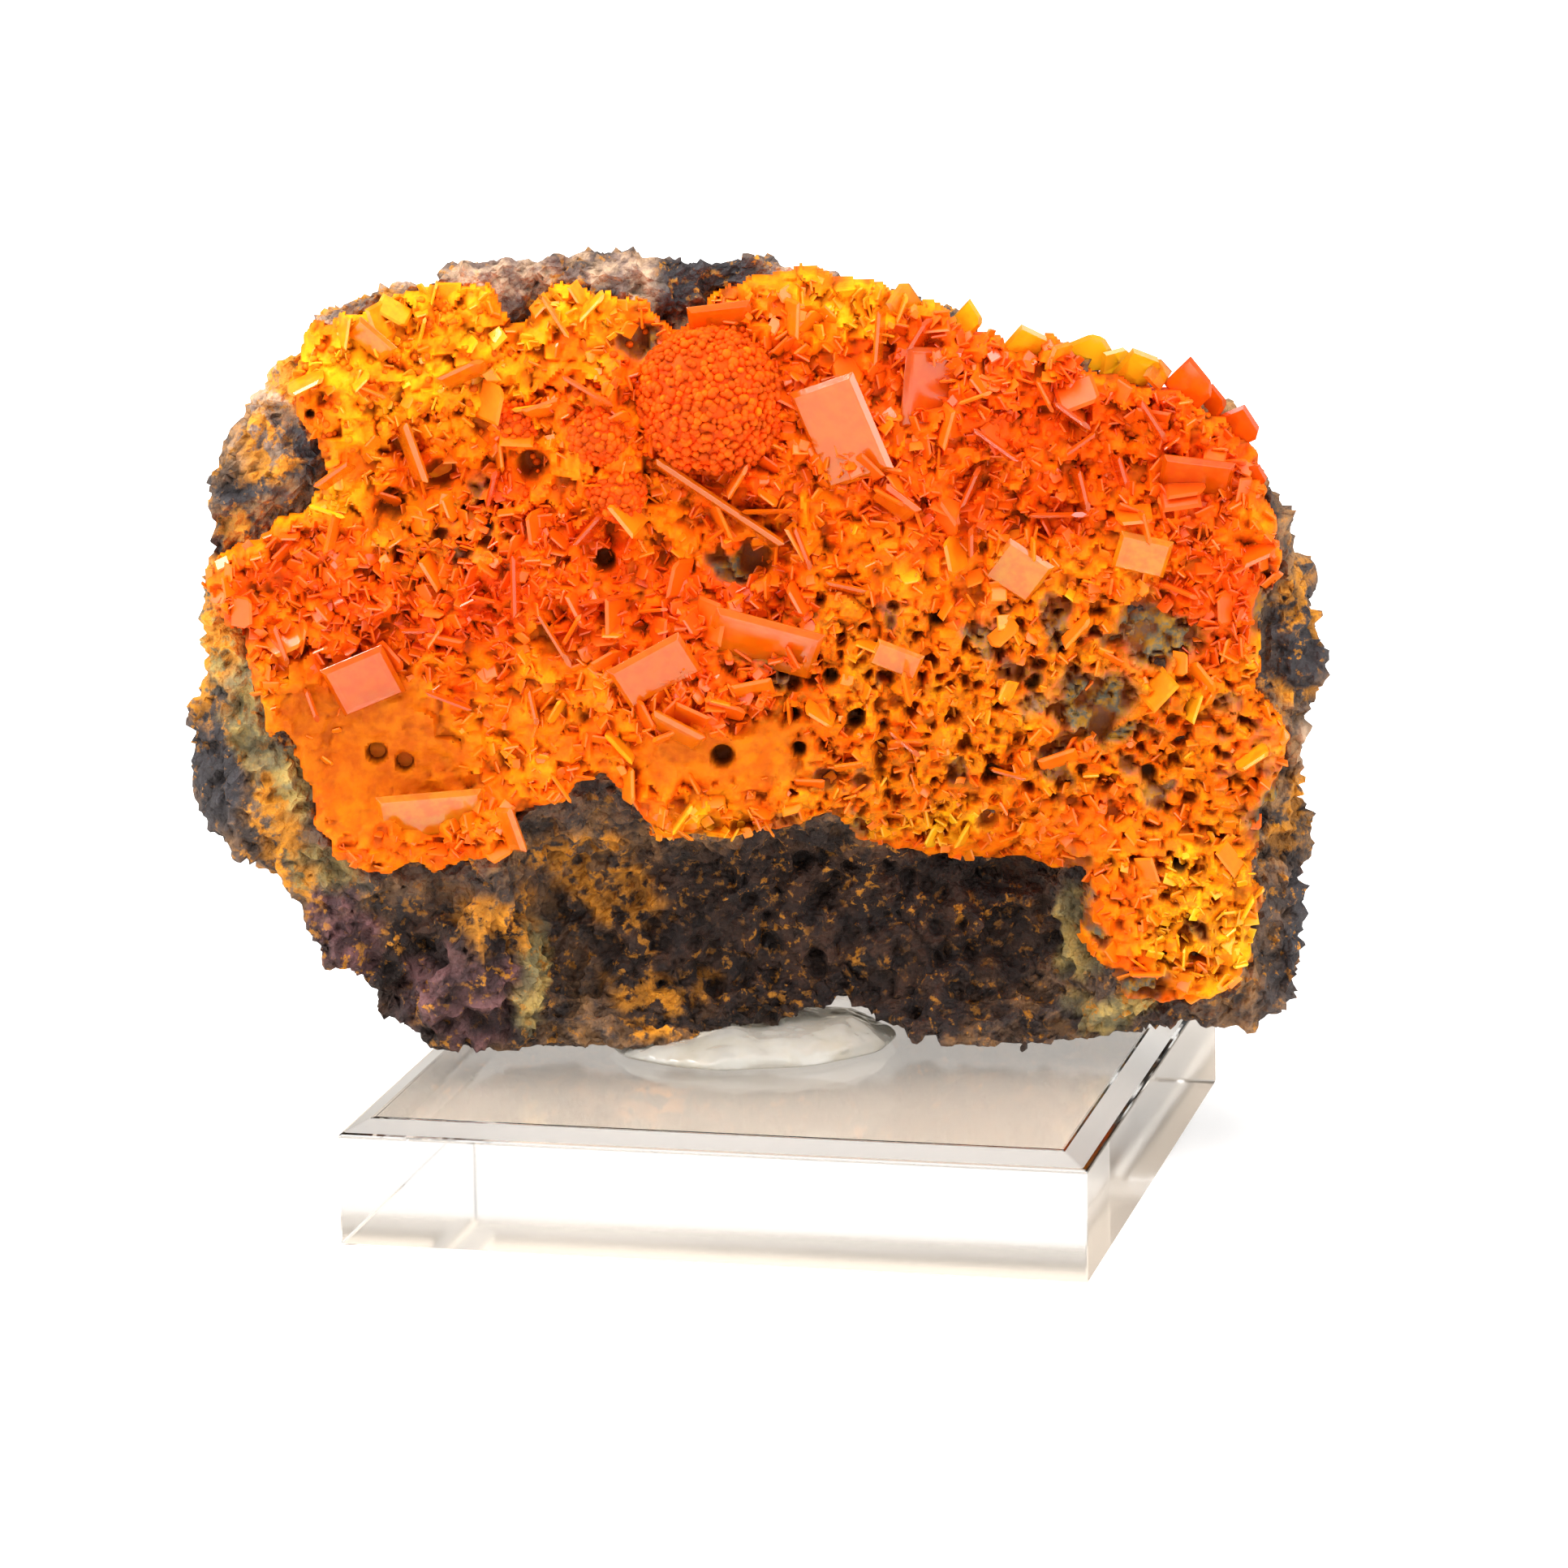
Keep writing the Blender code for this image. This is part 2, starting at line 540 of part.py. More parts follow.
def build_tablet(place, length, height, thickness, spare=0.0):
    """A tablet whose rim is bevelled towards an edge, with spare room all round."""
    bm = bmesh.new()
    bmesh.ops.create_cube(bm, size=1.0)
    size = Matrix.Diagonal((length + 2.0 * spare, thickness + 2.0 * spare, height + 2.0 * spare, 1.0))
    bmesh.ops.transform(bm, matrix=size, verts=bm.verts)
    rims = [e for e in bm.edges if abs(e.verts[0].co.y - e.verts[1].co.y) < 1e-6]
    bmesh.ops.bevel(bm, geom=rims, offset=TABLET_BEVEL * thickness, segments=1, affect="EDGES")
    bmesh.ops.transform(bm, matrix=place, verts=bm.verts)
    return bm


def build_putty():
    """The tack: a lumpy cake with a flat foot just over the base's top."""
    bm = bmesh.new()
    bmesh.ops.create_icosphere(bm, subdivisions=3, radius=1.0)
    foot = (BASE_HEIGHT + TOUCH_GAP) / MM
    for vert in bm.verts:
        swell = 1.0 + PUTTY_LUMP * noise.noise(vert.co * 2.3 + CRUST_SEED)
        rise = max(vert.co.z, 0.0)
        vert.co = Vector([c + r * swell * n for c, r, n in zip(PUTTY_CENTRE, PUTTY_RADII, vert.co)])
        bump_u, bump_v, reach, height = PUTTY_BUMP
        away = math.hypot(vert.co.x - bump_u, vert.co.y - bump_v) / reach
        vert.co.z += height * rise * math.exp(-(away**2))
    below = [v for v in bm.verts if v.co.z < foot]
    cut = bmesh.ops.bisect_plane(
        bm,
        geom=bm.verts[:] + bm.edges[:] + bm.faces[:],
        plane_co=(0.0, 0.0, foot),
        plane_no=(0.0, 0.0, -1.0),
        clear_outer=bool(below),
    )
    rim = [g for g in cut["geom_cut"] if isinstance(g, bmesh.types.BMEdge)]
    bmesh.ops.contextual_create(bm, geom=rim)
    bmesh.ops.recalc_face_normals(bm, faces=bm.faces)
    return bm


def build_base():
    """The acrylic block: straight sides, then the bevel up to the smaller top face."""
    bm = bmesh.new()
    side_height = BASE_HEIGHT - BASE_BEVEL_DOWN
    box = Matrix.Translation((0.0, 0.0, side_height / 2.0))
    box @= Matrix.Diagonal((BASE_SIDE, BASE_SIDE, side_height, 1.0))
    bmesh.ops.create_cube(bm, size=1.0, matrix=box)
    top = [f for f in bm.faces if f.normal.z > 0.9]
    raised = bmesh.ops.extrude_face_region(bm, geom=top)["geom"]
    corners = [g for g in raised if isinstance(g, bmesh.types.BMVert)]
    bmesh.ops.delete(bm, geom=top, context="FACES_ONLY")
    shrink = 1.0 - 2.0 * BASE_BEVEL_IN / BASE_SIDE
    bmesh.ops.scale(bm, vec=(shrink, shrink, 1.0), verts=corners)
    bmesh.ops.translate(bm, vec=(0.0, 0.0, BASE_BEVEL_DOWN), verts=corners)
    return bm


def build_specimen():
    parts = new_collection("wulfenite_with_mimetite")
    cutters = new_collection("cutters")
    acrylic = principled("clear acrylic", (0.93, 0.94, 0.94), 0.04, transmission=1.0, ior=1.49)
    tack = principled("clear tack", (0.84, 0.80, 0.70), 0.22)
    gossan = principled("gossan matrix", (0.085, 0.052, 0.038), 0.85)
    mimetite = principled("mimetite and wulfenite crust", (0.82, 0.27, 0.02), 0.45)
    wulfenite = principled("wulfenite", (0.86, 0.16, 0.02), 0.12, transmission=0.4, ior=2.3)

    add_object("display_base", build_base(), parts, acrylic)

    rock, is_front = build_rock()
    crust = build_crust(rock, is_front)
    tree = BVHTree.FromBMesh(crust)

    clearance = rock.copy()
    bmesh.ops.triangulate(clearance, faces=clearance.faces)
    clearance.normal_update()
    for vert in clearance.verts:
        vert.co += vert.normal * ROCK_CLEARANCE / MM
    place_in_world(clearance)
    rock_clearance = add_cutter("rock_clearance", clearance, cutters)

    putty = build_putty()
    place_in_world(putty)
    add_boolean(add_object("mounting_putty", putty, parts, tack), "DIFFERENCE", rock_clearance)

    pockets = bmesh.new()
    for number, (u, z, length, height, thickness, roll, opening) in enumerate(LARGE_TABLETS, 1):
        place = tablet_place(tree, u, z, height, roll, opening)
        tablet = build_tablet(place, length, height, thickness)
        place_in_world(tablet)
        add_object(f"wulfenite_tablet_{number:02d}", tablet, parts, wulfenite)
        pocket = build_tablet(place, length, height, thickness, spare=TOUCH_GAP / MM)
        scratch = bpy.data.meshes.new("pocket")
        pocket.to_mesh(scratch)
        pocket.free()
        pockets.from_mesh(scratch)
        bpy.data.meshes.remove(scratch)
    growths = build_growths(tree)
    pits = build_pits(tree)
    for cutter in (pockets, growths, pits):
        place_in_world(cutter)
    pocket_cutter = add_cutter("tablet_pockets", pockets, cutters)
    growth_cutter = add_cutter("crust_growths", growths, cutters)
    add_boolean(growth_cutter, "DIFFERENCE", rock_clearance, self_overlap=True)
    pit_cutter = add_cutter("crust_pits", pits, cutters)

    bmesh.ops.triangulate(rock, faces=rock.faces)
    place_in_world(rock)
    add_boolean(add_object("matrix_rock", rock, parts, gossan), "DIFFERENCE", pocket_cutter)
    place_in_world(crust)
    crust_object = add_object("crystal_crust", crust, parts, mimetite)
    add_boolean(crust_object, "DIFFERENCE", pit_cutter)
    add_boolean(crust_object, "UNION", growth_cutter, self_overlap=True)
    add_boolean(crust_object, "DIFFERENCE", pocket_cutter)
    apply_and_drop_crumbs(crust_object)


clear_scene()
build_specimen()
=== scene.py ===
# %% [markdown]
# Wulfenite with mimetite on its display base
#
# This lesson dresses a plain solid model of a mineral specimen. The solids give the place and the
# size of everything. Each step below looks at one piece of the real specimen, says how it could be
# made, and makes it. The specimen has its own axes, in millimetres: u runs to the right along the
# crystal face, v runs away from the viewer into the rock, and z runs up.

# %% Load the frame
import itertools
import json
import math

import bmesh
import bpy
import numpy as np
from mathutils import Matrix, Vector
from mathutils.bvhtree import BVHTree

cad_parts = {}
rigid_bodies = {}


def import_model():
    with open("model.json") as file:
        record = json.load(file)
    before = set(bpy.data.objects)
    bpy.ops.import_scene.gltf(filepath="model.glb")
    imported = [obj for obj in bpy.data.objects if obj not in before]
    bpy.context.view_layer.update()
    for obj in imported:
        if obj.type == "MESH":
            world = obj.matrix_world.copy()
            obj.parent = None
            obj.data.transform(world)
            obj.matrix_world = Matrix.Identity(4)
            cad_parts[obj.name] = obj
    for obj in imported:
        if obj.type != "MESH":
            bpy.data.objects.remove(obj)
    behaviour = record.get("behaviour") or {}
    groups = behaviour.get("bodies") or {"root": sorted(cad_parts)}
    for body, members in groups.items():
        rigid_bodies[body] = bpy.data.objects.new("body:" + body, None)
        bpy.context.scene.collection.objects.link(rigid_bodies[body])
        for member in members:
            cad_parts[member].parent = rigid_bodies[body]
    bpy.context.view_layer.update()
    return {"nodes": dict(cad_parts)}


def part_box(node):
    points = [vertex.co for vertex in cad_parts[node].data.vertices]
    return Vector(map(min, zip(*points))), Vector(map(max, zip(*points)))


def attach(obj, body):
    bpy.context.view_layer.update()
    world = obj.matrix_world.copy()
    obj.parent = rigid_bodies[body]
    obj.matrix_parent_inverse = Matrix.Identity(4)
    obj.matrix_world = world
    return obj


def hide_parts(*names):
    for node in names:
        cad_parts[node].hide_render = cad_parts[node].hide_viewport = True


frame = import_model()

for name in ("Camera", "Cube", "Light"):
    if name in bpy.data.objects:
        bpy.data.objects.remove(bpy.data.objects[name])
print("nodes in the frame:", len(frame["nodes"]))

# %% [markdown]
# The specimen is tacked to its base a little turned, so its own axes differ from the world's by
# that turn. Two small functions go between them. Everything that grows on the rock is worked out
# in the specimen's axes, because they lie along its face.

# %% Specimen axes
MM = 0.001
SPECIMEN_TURN = math.radians(13.4)
TURN_COS, TURN_SIN = math.cos(SPECIMEN_TURN), math.sin(SPECIMEN_TURN)


def to_world(points):
    """Specimen axes in millimetres, as rows of (u, v, z), to world metres."""
    u, v, z = np.asarray(points, float).T
    return np.stack([u * TURN_COS - v * TURN_SIN, u * TURN_SIN + v * TURN_COS, z], 1) * MM


def to_specimen(points):
    """World metres, as rows of (x, y, z), to specimen axes in millimetres."""
    x, y, z = np.asarray(points, float).T / MM
    return np.stack([x * TURN_COS + y * TURN_SIN, y * TURN_COS - x * TURN_SIN, z], 1)


def read_rows(items, key):
    """One row of three numbers for each item of a mesh."""
    flat = np.empty(len(items) * 3, np.float32)
    items.foreach_get(key, flat)
    return flat.reshape(-1, 3)


def read_points(mesh):
    """A mesh's vertices in specimen axes."""
    return to_specimen(read_rows(mesh.vertices, "co"))


def write_points(mesh, points):
    """Moves a mesh's vertices to places given in specimen axes."""
    mesh.vertices.foreach_set("co", to_world(points).astype(np.float32).ravel())
    mesh.update()


def read_normals(mesh):
    """A mesh's vertex normals in specimen axes."""
    return to_specimen(read_rows(mesh.vertex_normals, "vector")) * MM


def write_mask(mesh, name, values):
    """Keeps one number for each vertex, which a material can read by its name."""
    layer = mesh.attributes.new(name, "FLOAT", "POINT")
    layer.data.foreach_set("value", np.asarray(values, np.float32))


print("specimen turned by degrees:", round(math.degrees(SPECIMEN_TURN), 1))

# %% [markdown]
# Broken rock and crystal crusts are rough at every scale. Two kinds of noise describe them well.
# Smooth noise gives rounded lumps. Cell noise scatters points, and the distance to the nearest one
# gives beads, pits and the flat chips of a broken stone. Both are worked out for all the vertices
# at once with numpy, which takes a fraction of the time that a loop over the vertices takes.

# %% Noise helpers
HASH_STEPS = (73856093, 19349663, 83492791)
HASH_MASK = 0xFFFFFFFF


def lattice_random(cell, seed):
    """A number from 0 to 1 for each row of whole numbers, the same one every time."""
    mixed = np.full(cell.shape[:-1], seed * 374761393, np.int64)
    for axis in range(cell.shape[-1]):
        mixed = mixed ^ (cell[..., axis] * HASH_STEPS[axis])
    for shift in (15, 13):
        mixed = ((mixed & HASH_MASK) ^ ((mixed & HASH_MASK) >> shift)) * 1274126177
    mixed = mixed & HASH_MASK
    return (mixed ^ (mixed >> 16)) / HASH_MASK


def smooth_noise(points, size, seed, octaves=1):
    """Rounded lumps about size across, from -1 to 1, with finer ones on top for each octave."""
    points = np.asarray(points, float)
    total, strength = np.zeros(len(points)), 1.0
    for octave in range(octaves):
        scaled = points / size * 2.03**octave + 17.7 * octave
        base = np.floor(scaled).astype(np.int64)
        part = scaled - base
        part = part * part * (3.0 - 2.0 * part)
        value = np.zeros(len(points))
        for corner in itertools.product((0, 1), repeat=points.shape[1]):
            share = np.prod(np.where(corner, part, 1.0 - part), axis=1)
            value += share * lattice_random(base + np.array(corner), seed + octave)
        total += strength * (2.0 * value - 1.0)
        strength *= 0.5
    return total


def cell_noise(points, size, seed):
    """Distance to the closest scattered point and to the next, in sizes, and the closest point."""
    scaled = np.asarray(points, float) / size
    base = np.floor(scaled).astype(np.int64)
    first, second = np.full(len(scaled), 9.0), np.full(len(scaled), 9.0)
    closest = np.zeros_like(scaled)
    for step in itertools.product((-1, 0, 1), repeat=scaled.shape[1]):
        cell = base + np.array(step)
        offsets = [lattice_random(cell, seed + 31 * axis) for axis in range(scaled.shape[1])]
        middle = cell + np.stack(offsets, 1)
        distance = np.linalg.norm(scaled - middle, axis=1)
        nearer = distance < first
        second = np.where(nearer, first, np.minimum(second, distance))
        first = np.where(nearer, distance, first)
        closest = np.where(nearer[:, None], middle, closest)
    return first, second, closest


def cell_random(closest, seed):
    """One random number for the cell that each closest point of cell_noise belongs to."""
    return lattice_random(np.floor(closest).astype(np.int64), seed)


def chips(points, size, seed, slope):
    """Flat chips: each cell has its own height and its own slope, as a broken stone has."""
    _, _, closest = cell_noise(points, size, seed)
    height = cell_random(closest, seed + 5) - 0.5
    offset = np.asarray(points) / size - closest
    tilt = sum(offset[:, k] * (cell_random(closest, seed + 7 + k) - 0.5) for k in range(offset.shape[1]))
    return height + 2.0 * slope * tilt


def smooth_step(value, low, high):
    """0 below low, 1 above high, and a smooth rise between them."""
    part = np.clip((value - low) / (high - low), 0.0, 1.0)
    return part * part * (3.0 - 2.0 * part)


def spots(u, z, rows):
    """1 in the middle of the nearest listed patch and 0 past its rim. Rows: u, z, half sizes."""
    mask = np.zeros(np.shape(u))
    for at_u, at_z, half_u, half_z in rows:
        distance = np.hypot((u - at_u) / half_u, (z - at_z) / half_z)
        mask = np.maximum(mask, 1.0 - smooth_step(distance, 0.6, 1.15))
    return mask


print("noise ready, for example:", smooth_noise(np.zeros((1, 3)) + 0.4, 1.0, 3).round(3))

# %% [markdown]
# The camera stands where the photographer stood: low, a little to the right of the base's front,
# and far back, so that a long lens fills the frame. It is aimed by building its three axes, and
# the small roll is a turn about its own line of sight.

# %% Camera
SENSOR_WIDTH = 36.0
LENS = 149.07
CAMERA_AZIMUTH = math.radians(13.36)
CAMERA_ELEVATION = math.radians(12.6)
CAMERA_ROLL = math.radians(-0.95)
CAMERA_TARGET = Vector((0.8, -6.0, 41.7)) * MM
CAMERA_DISTANCE = 664.4 * MM

back = Vector((
    math.sin(CAMERA_AZIMUTH) * math.cos(CAMERA_ELEVATION),
    -math.cos(CAMERA_AZIMUTH) * math.cos(CAMERA_ELEVATION),
    math.sin(CAMERA_ELEVATION),
))
right = Vector((0.0, 0.0, 1.0)).cross(back).normalized()
up = back.cross(right)
rolled_right = math.cos(CAMERA_ROLL) * right + math.sin(CAMERA_ROLL) * up
rolled_up = math.cos(CAMERA_ROLL) * up - math.sin(CAMERA_ROLL) * right
camera_data = bpy.data.cameras.new("camera")
camera_data.lens = LENS
camera_data.sensor_width = SENSOR_WIDTH
camera_data.clip_start = 0.01
camera = bpy.data.objects.new("camera", camera_data)
bpy.context.scene.collection.objects.link(camera)
camera.matrix_world = Matrix((
    (rolled_right.x, rolled_up.x, back.x, 0.0),
    (rolled_right.y, rolled_up.y, back.y, 0.0),
    (rolled_right.z, rolled_up.z, back.z, 0.0),
    (0.0, 0.0, 0.0, 1.0),
))
camera.location = CAMERA_TARGET + CAMERA_DISTANCE * back
bpy.context.scene.camera = camera
bpy.context.scene.view_settings.view_transform = "Standard"
print("camera at", [round(c, 3) for c in camera.location])

# %% [markdown]
# A finish is a small tree of shader nodes. These helpers make the nodes, set their inputs and join
# them, so that each finish further on reads as a list of the colours and masks that it mixes.

# %% Node helpers


def node(tree, kind, place=(0, 0), **settings):
    """Adds a shader node and sets its inputs by name."""
    made = tree.nodes.new(kind)
    made.location = place
    for key, value in settings.items():
        if hasattr(made, key):
            setattr(made, key, value)
        else:
            made.inputs[key.replace("_", " ")].default_value = value
    return made


def new_material(name, **inputs):
    """A material, its node tree and its Principled shader, with that shader's inputs set by name."""
    material = bpy.data.materials.new(name)
    material.use_nodes = True
    shader = material.node_tree.nodes["Principled BSDF"]
    for key, value in inputs.items():
        shader.inputs[key.replace("_", " ")].default_value = value
    return material, material.node_tree, shader


def mask_of(tree, name):
    """The number that write_mask kept under a name."""
    return node(tree, "ShaderNodeAttribute", attribute_name=name).outputs["Fac"]


def feed(tree, value, socket):
    """Gives a socket its value: another socket, the name of a mask, a plain colour or a number."""
    if isinstance(value, str):
        value = mask_of(tree, value)
    if isinstance(value, bpy.types.NodeSocket):
        tree.links.new(value, socket)
    else:
        socket.default_value = (*value, 1.0) if isinstance(value, tuple) else value


def link_maths(tree, operation, first, second):
    """A math node on two values, each given as in feed."""
    made = node(tree, "ShaderNodeMath", operation=operation)
    feed(tree, first, made.inputs[0])
    feed(tree, second, made.inputs[1])
    return made.outputs[0]


def multiply(tree, first, second):
    return link_maths(tree, "MULTIPLY", first, second)


def blend_colours(tree, share, first, second):
    """Mixes two colours by a share, each given as in feed."""
    mix = node(tree, "ShaderNodeMix", data_type="RGBA")
    for socket, value in ((mix.inputs[0], share), (mix.inputs[6], first), (mix.inputs[7], second)):
        feed(tree, value, socket)
    return mix.outputs[2]


print("helpers:", node.__name__, new_material.__name__, feed.__name__, blend_colours.__name__)

# %% [markdown]
# The specimen was photographed in a white light tent. A tent lights evenly from above and from the
# sides, its floor throws light back up, and only the side of the camera is dark. Here a pale floor
# glows a little, so that it stays white in the picture, and three large soft lamps stand for the
# tent's walls. A fourth and smaller one only shows in reflections, as the glints on the crystals'
# edges. The sky is white where it is seen directly or through something clear, lights matt
# surfaces less, and is dim in reflections, so the crystals keep their colour.

# %% Floor and light
FLOOR_SIDE = 6.0
FLOOR_GLOW_NEAR, FLOOR_GLOW_FAR = 0.30, 1.0
FLOOR_NEAR, FLOOR_FAR = 0.12, 0.60
# The floor's colour as seen, and the darker tan it shows in reflections, which is a painted reflection.
FLOOR_SEEN, FLOOR_IN_GLOSS = (0.9, 0.9, 0.9), (0.56, 0.48, 0.39)
SKY_SEEN, SKY_ON_MATT, SKY_IN_GLOSS = 1.15, 0.50, 0.25
LAMPS = [
    # name, place, size, watts
    ("top_lamp", (-0.10, -0.28, 0.80), 0.90, 15.0),
    ("left_lamp", (-0.80, -0.40, 0.35), 0.80, 6.0),
    ("right_lamp", (0.80, -0.25, 0.40), 0.80, 6.0),
    ("sparkle_lamp", (-0.42, -0.22, 0.66), 0.20, 3.0),
]


def seen_directly(tree):
    """1 for rays from the camera and for rays that come out of clear things, 0 for the rest."""
    path = node(tree, "ShaderNodeLightPath")
    direct = link_maths(tree, "MAXIMUM", path.outputs["Is Camera Ray"], path.outputs["Is Transmission Ray"])
    return direct, path


bpy.ops.mesh.primitive_plane_add(size=FLOOR_SIDE, location=(0.0, 0.0, -0.0002))
floor = bpy.context.object
floor.name = "floor"
material, tree, shader = new_material(
    "white floor", Roughness=0.7, Specular_IOR_Level=0.1, Emission_Color=(1.0, 1.0, 1.0, 1.0)
)
where = node(tree, "ShaderNodeTexCoord")
away = node(tree, "ShaderNodeVectorMath", operation="LENGTH")
tree.links.new(where.outputs["Object"], away.inputs[0])
glow = node(
    tree, "ShaderNodeMapRange",
    From_Min=FLOOR_NEAR, From_Max=FLOOR_FAR, To_Min=FLOOR_GLOW_NEAR, To_Max=FLOOR_GLOW_FAR,
)
tree.links.new(away.outputs["Value"], glow.inputs["Value"])
direct, path = seen_directly(tree)
shining = multiply(tree, glow.outputs["Result"], direct)
tree.links.new(shining, shader.inputs["Emission Strength"])
# Painted reflection: in reflections the floor shows a darker tan than it shows directly.
floor_tone_by_ray = blend_colours(tree, path.outputs["Is Glossy Ray"], FLOOR_SEEN, FLOOR_IN_GLOSS)
tree.links.new(floor_tone_by_ray, shader.inputs["Base Color"])
floor.data.materials.append(material)

world = bpy.data.worlds.new("tent")
bpy.context.scene.world = world
world.use_nodes = True
tree = world.node_tree
sky = tree.nodes["Background"]
sky.inputs["Color"].default_value = (1.0, 1.0, 1.0, 1.0)
direct, path = seen_directly(tree)
matt = multiply(tree, path.outputs["Is Diffuse Ray"], SKY_ON_MATT - SKY_IN_GLOSS)
shown = multiply(tree, direct, SKY_SEEN - SKY_IN_GLOSS)
strength = link_maths(tree, "ADD", link_maths(tree, "ADD", matt, shown), SKY_IN_GLOSS)
tree.links.new(strength, sky.inputs["Strength"])

for name, place, size, watts in LAMPS:
    lamp_data = bpy.data.lights.new(name, "AREA")
    lamp_data.size = size
    lamp_data.energy = watts
    lamp = bpy.data.objects.new(name, lamp_data)
    bpy.context.scene.collection.objects.link(lamp)
    lamp.location = place
    lamp.visible_glossy = name != "top_lamp"
    lamp.visible_diffuse = name != "sparkle_lamp"
    lamp.rotation_euler = (Vector(place) - CAMERA_TARGET).to_track_quat("Z", "Y").to_euler()
print("lamps:", len(LAMPS))

# %% [markdown]
# Two effects come back in several finishes. Minerals are mottled: one tone gives way to another in
# soft blotches with finer specks inside. And their surfaces are grainy. Both are kept as node
# groups, so each finish can use them with its own scale.

# %% Shared node groups


def new_group(name, inputs, outputs):
    """A shader node group with the named number sockets, and its input and output nodes."""
    group = bpy.data.node_groups.new(name, "ShaderNodeTree")
    for label, value in inputs.items():
        socket = group.interface.new_socket(label, in_out="INPUT", socket_type="NodeSocketFloat")
        socket.default_value = value
    for label in outputs:
        group.interface.new_socket(label, in_out="OUTPUT", socket_type="NodeSocketFloat")
    return group, group.nodes.new("NodeGroupInput"), group.nodes.new("NodeGroupOutput")


def make_mottle():
    """Blotches with specks in them, as one mask from 0 to 1."""
    group, given, result = new_group("mottle", {"Scale": 200.0, "Low": 0.4, "High": 0.6}, ["Mask", "Fine"])
    where = node(group, "ShaderNodeTexCoord")
    broad = node(group, "ShaderNodeTexNoise", Detail=4.0, Roughness=0.62)
    fine = node(group, "ShaderNodeTexNoise", Detail=3.0, Roughness=0.7)
    finer = node(group, "ShaderNodeMath", operation="MULTIPLY")
    finer.inputs[1].default_value = 4.7
    spread = node(group, "ShaderNodeMapRange", interpolation_type="SMOOTHSTEP")
    link = group.links.new
    link(where.outputs["Object"], broad.inputs["Vector"])
    link(where.outputs["Object"], fine.inputs["Vector"])
    link(given.outputs["Scale"], broad.inputs["Scale"])
    link(given.outputs["Scale"], finer.inputs[0])
    link(finer.outputs[0], fine.inputs["Scale"])
    link(broad.outputs["Fac"], spread.inputs["Value"])
    link(given.outputs["Low"], spread.inputs["From Min"])
    link(given.outputs["High"], spread.inputs["From Max"])
    link(spread.outputs["Result"], result.inputs["Mask"])
    link(fine.outputs["Fac"], result.inputs["Fine"])
    return group


def make_grain():
    """Small crystal grains as a height, with rounded tops and dark joints."""
    group, given, result = new_group("grain", {"Scale": 1200.0}, ["Height"])
    where = node(group, "ShaderNodeTexCoord")
    beads = node(group, "ShaderNodeTexVoronoi")
    rough = node(group, "ShaderNodeTexNoise", Detail=3.0)
    turned = node(group, "ShaderNodeMath", operation="SUBTRACT")
    turned.inputs[0].default_value = 1.0
    both = node(group, "ShaderNodeMath", operation="MULTIPLY_ADD")
    both.inputs[1].default_value = 0.6
    link = group.links.new
    for texture in (beads, rough):
        link(where.outputs["Object"], texture.inputs["Vector"])
        link(given.outputs["Scale"], texture.inputs["Scale"])
    link(beads.outputs["Distance"], turned.inputs[1])
    link(turned.outputs[0], both.inputs[0])
    link(rough.outputs["Fac"], both.inputs[2])
    link(both.outputs[0], result.inputs["Height"])
    return group


MOTTLE = make_mottle()
GRAIN = make_grain()


def add_mottle(tree, scale, low=0.4, high=0.6):
    return node(tree, "ShaderNodeGroup", node_tree=MOTTLE, Scale=scale, Low=low, High=high)


def add_grain(tree, scale):
    return node(tree, "ShaderNodeGroup", node_tree=GRAIN, Scale=scale)


def colour_ramp(tree, value, stops):
    """A colour for each value: stops are pairs of a place and a colour."""
    ramp = tree.nodes.new("ShaderNodeValToRGB")
    while len(ramp.color_ramp.elements) < len(stops):
        ramp.color_ramp.elements.new(0.5)
    for element, (place, colour) in zip(ramp.color_ramp.elements, stops):
        element.position = place
        element.color = (*colour, 1.0)
    feed(tree, value, ramp.inputs["Fac"])
    return ramp.outputs["Color"]


def add_bump(tree, shader, height, distance, strength=1.0):
    bump = node(tree, "ShaderNodeBump", Strength=strength, Distance=distance)
    tree.links.new(height, bump.inputs["Height"])
    tree.links.new(bump.outputs["Normal"], shader.inputs["Normal"])


print("groups:", MOTTLE.name, GRAIN.name)

# %% [markdown]
# The display base is a block of clear cast acrylic with a bevelled top edge. It could be a plain
# box with a bevel, but the real bevel is lower than it is deep, so the top is extruded and scaled
# in by its true sizes. A tiny rounding of every edge then catches the light, as polish does.

# %% Display base
BASE_BEVEL_IN = 2.9 * MM
BASE_BEVEL_DOWN = 1.3 * MM
BASE_POLISH = 0.22 * MM
TOP_SATIN, BEVEL_SATIN = 0.06, 0.6


def deselect_all():
    for obj in bpy.context.view_layer.objects:
        obj.select_set(False)


def activate(obj):
    deselect_all()
    obj.select_set(True)
    bpy.context.view_layer.objects.active = obj


def select_faces(obj, wanted):
    """In edit mode, selects the faces whose middle and normal pass the test."""
    bpy.ops.mesh.select_all(action="DESELECT")
    mesh = bmesh.from_edit_mesh(obj.data)
    for face in mesh.faces:
        if wanted(face.calc_center_median(), face.normal):
            face.select_set(True)
    bmesh.update_edit_mesh(obj.data)


def apply_modifier(obj, kind, **settings):
    """Adds a modifier with its settings and applies it."""
    activate(obj)
    modifier = obj.modifiers.new(kind.lower(), kind)
    for key, value in settings.items():
        setattr(modifier, key, value)
    bpy.ops.object.modifier_apply(modifier=modifier.name)


def finish_piece(obj, material, slot, *nodes):
    """Gives a piece its material, joins it to the root body and hides the frame's solids that it stands for.
    The slot is not used.
    """
    obj.data.materials.append(material)
    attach(obj, "root")
    if nodes:
        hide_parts(*nodes)
    print(obj.name, "triangles:", sum(len(p.vertices) - 2 for p in obj.data.polygons))


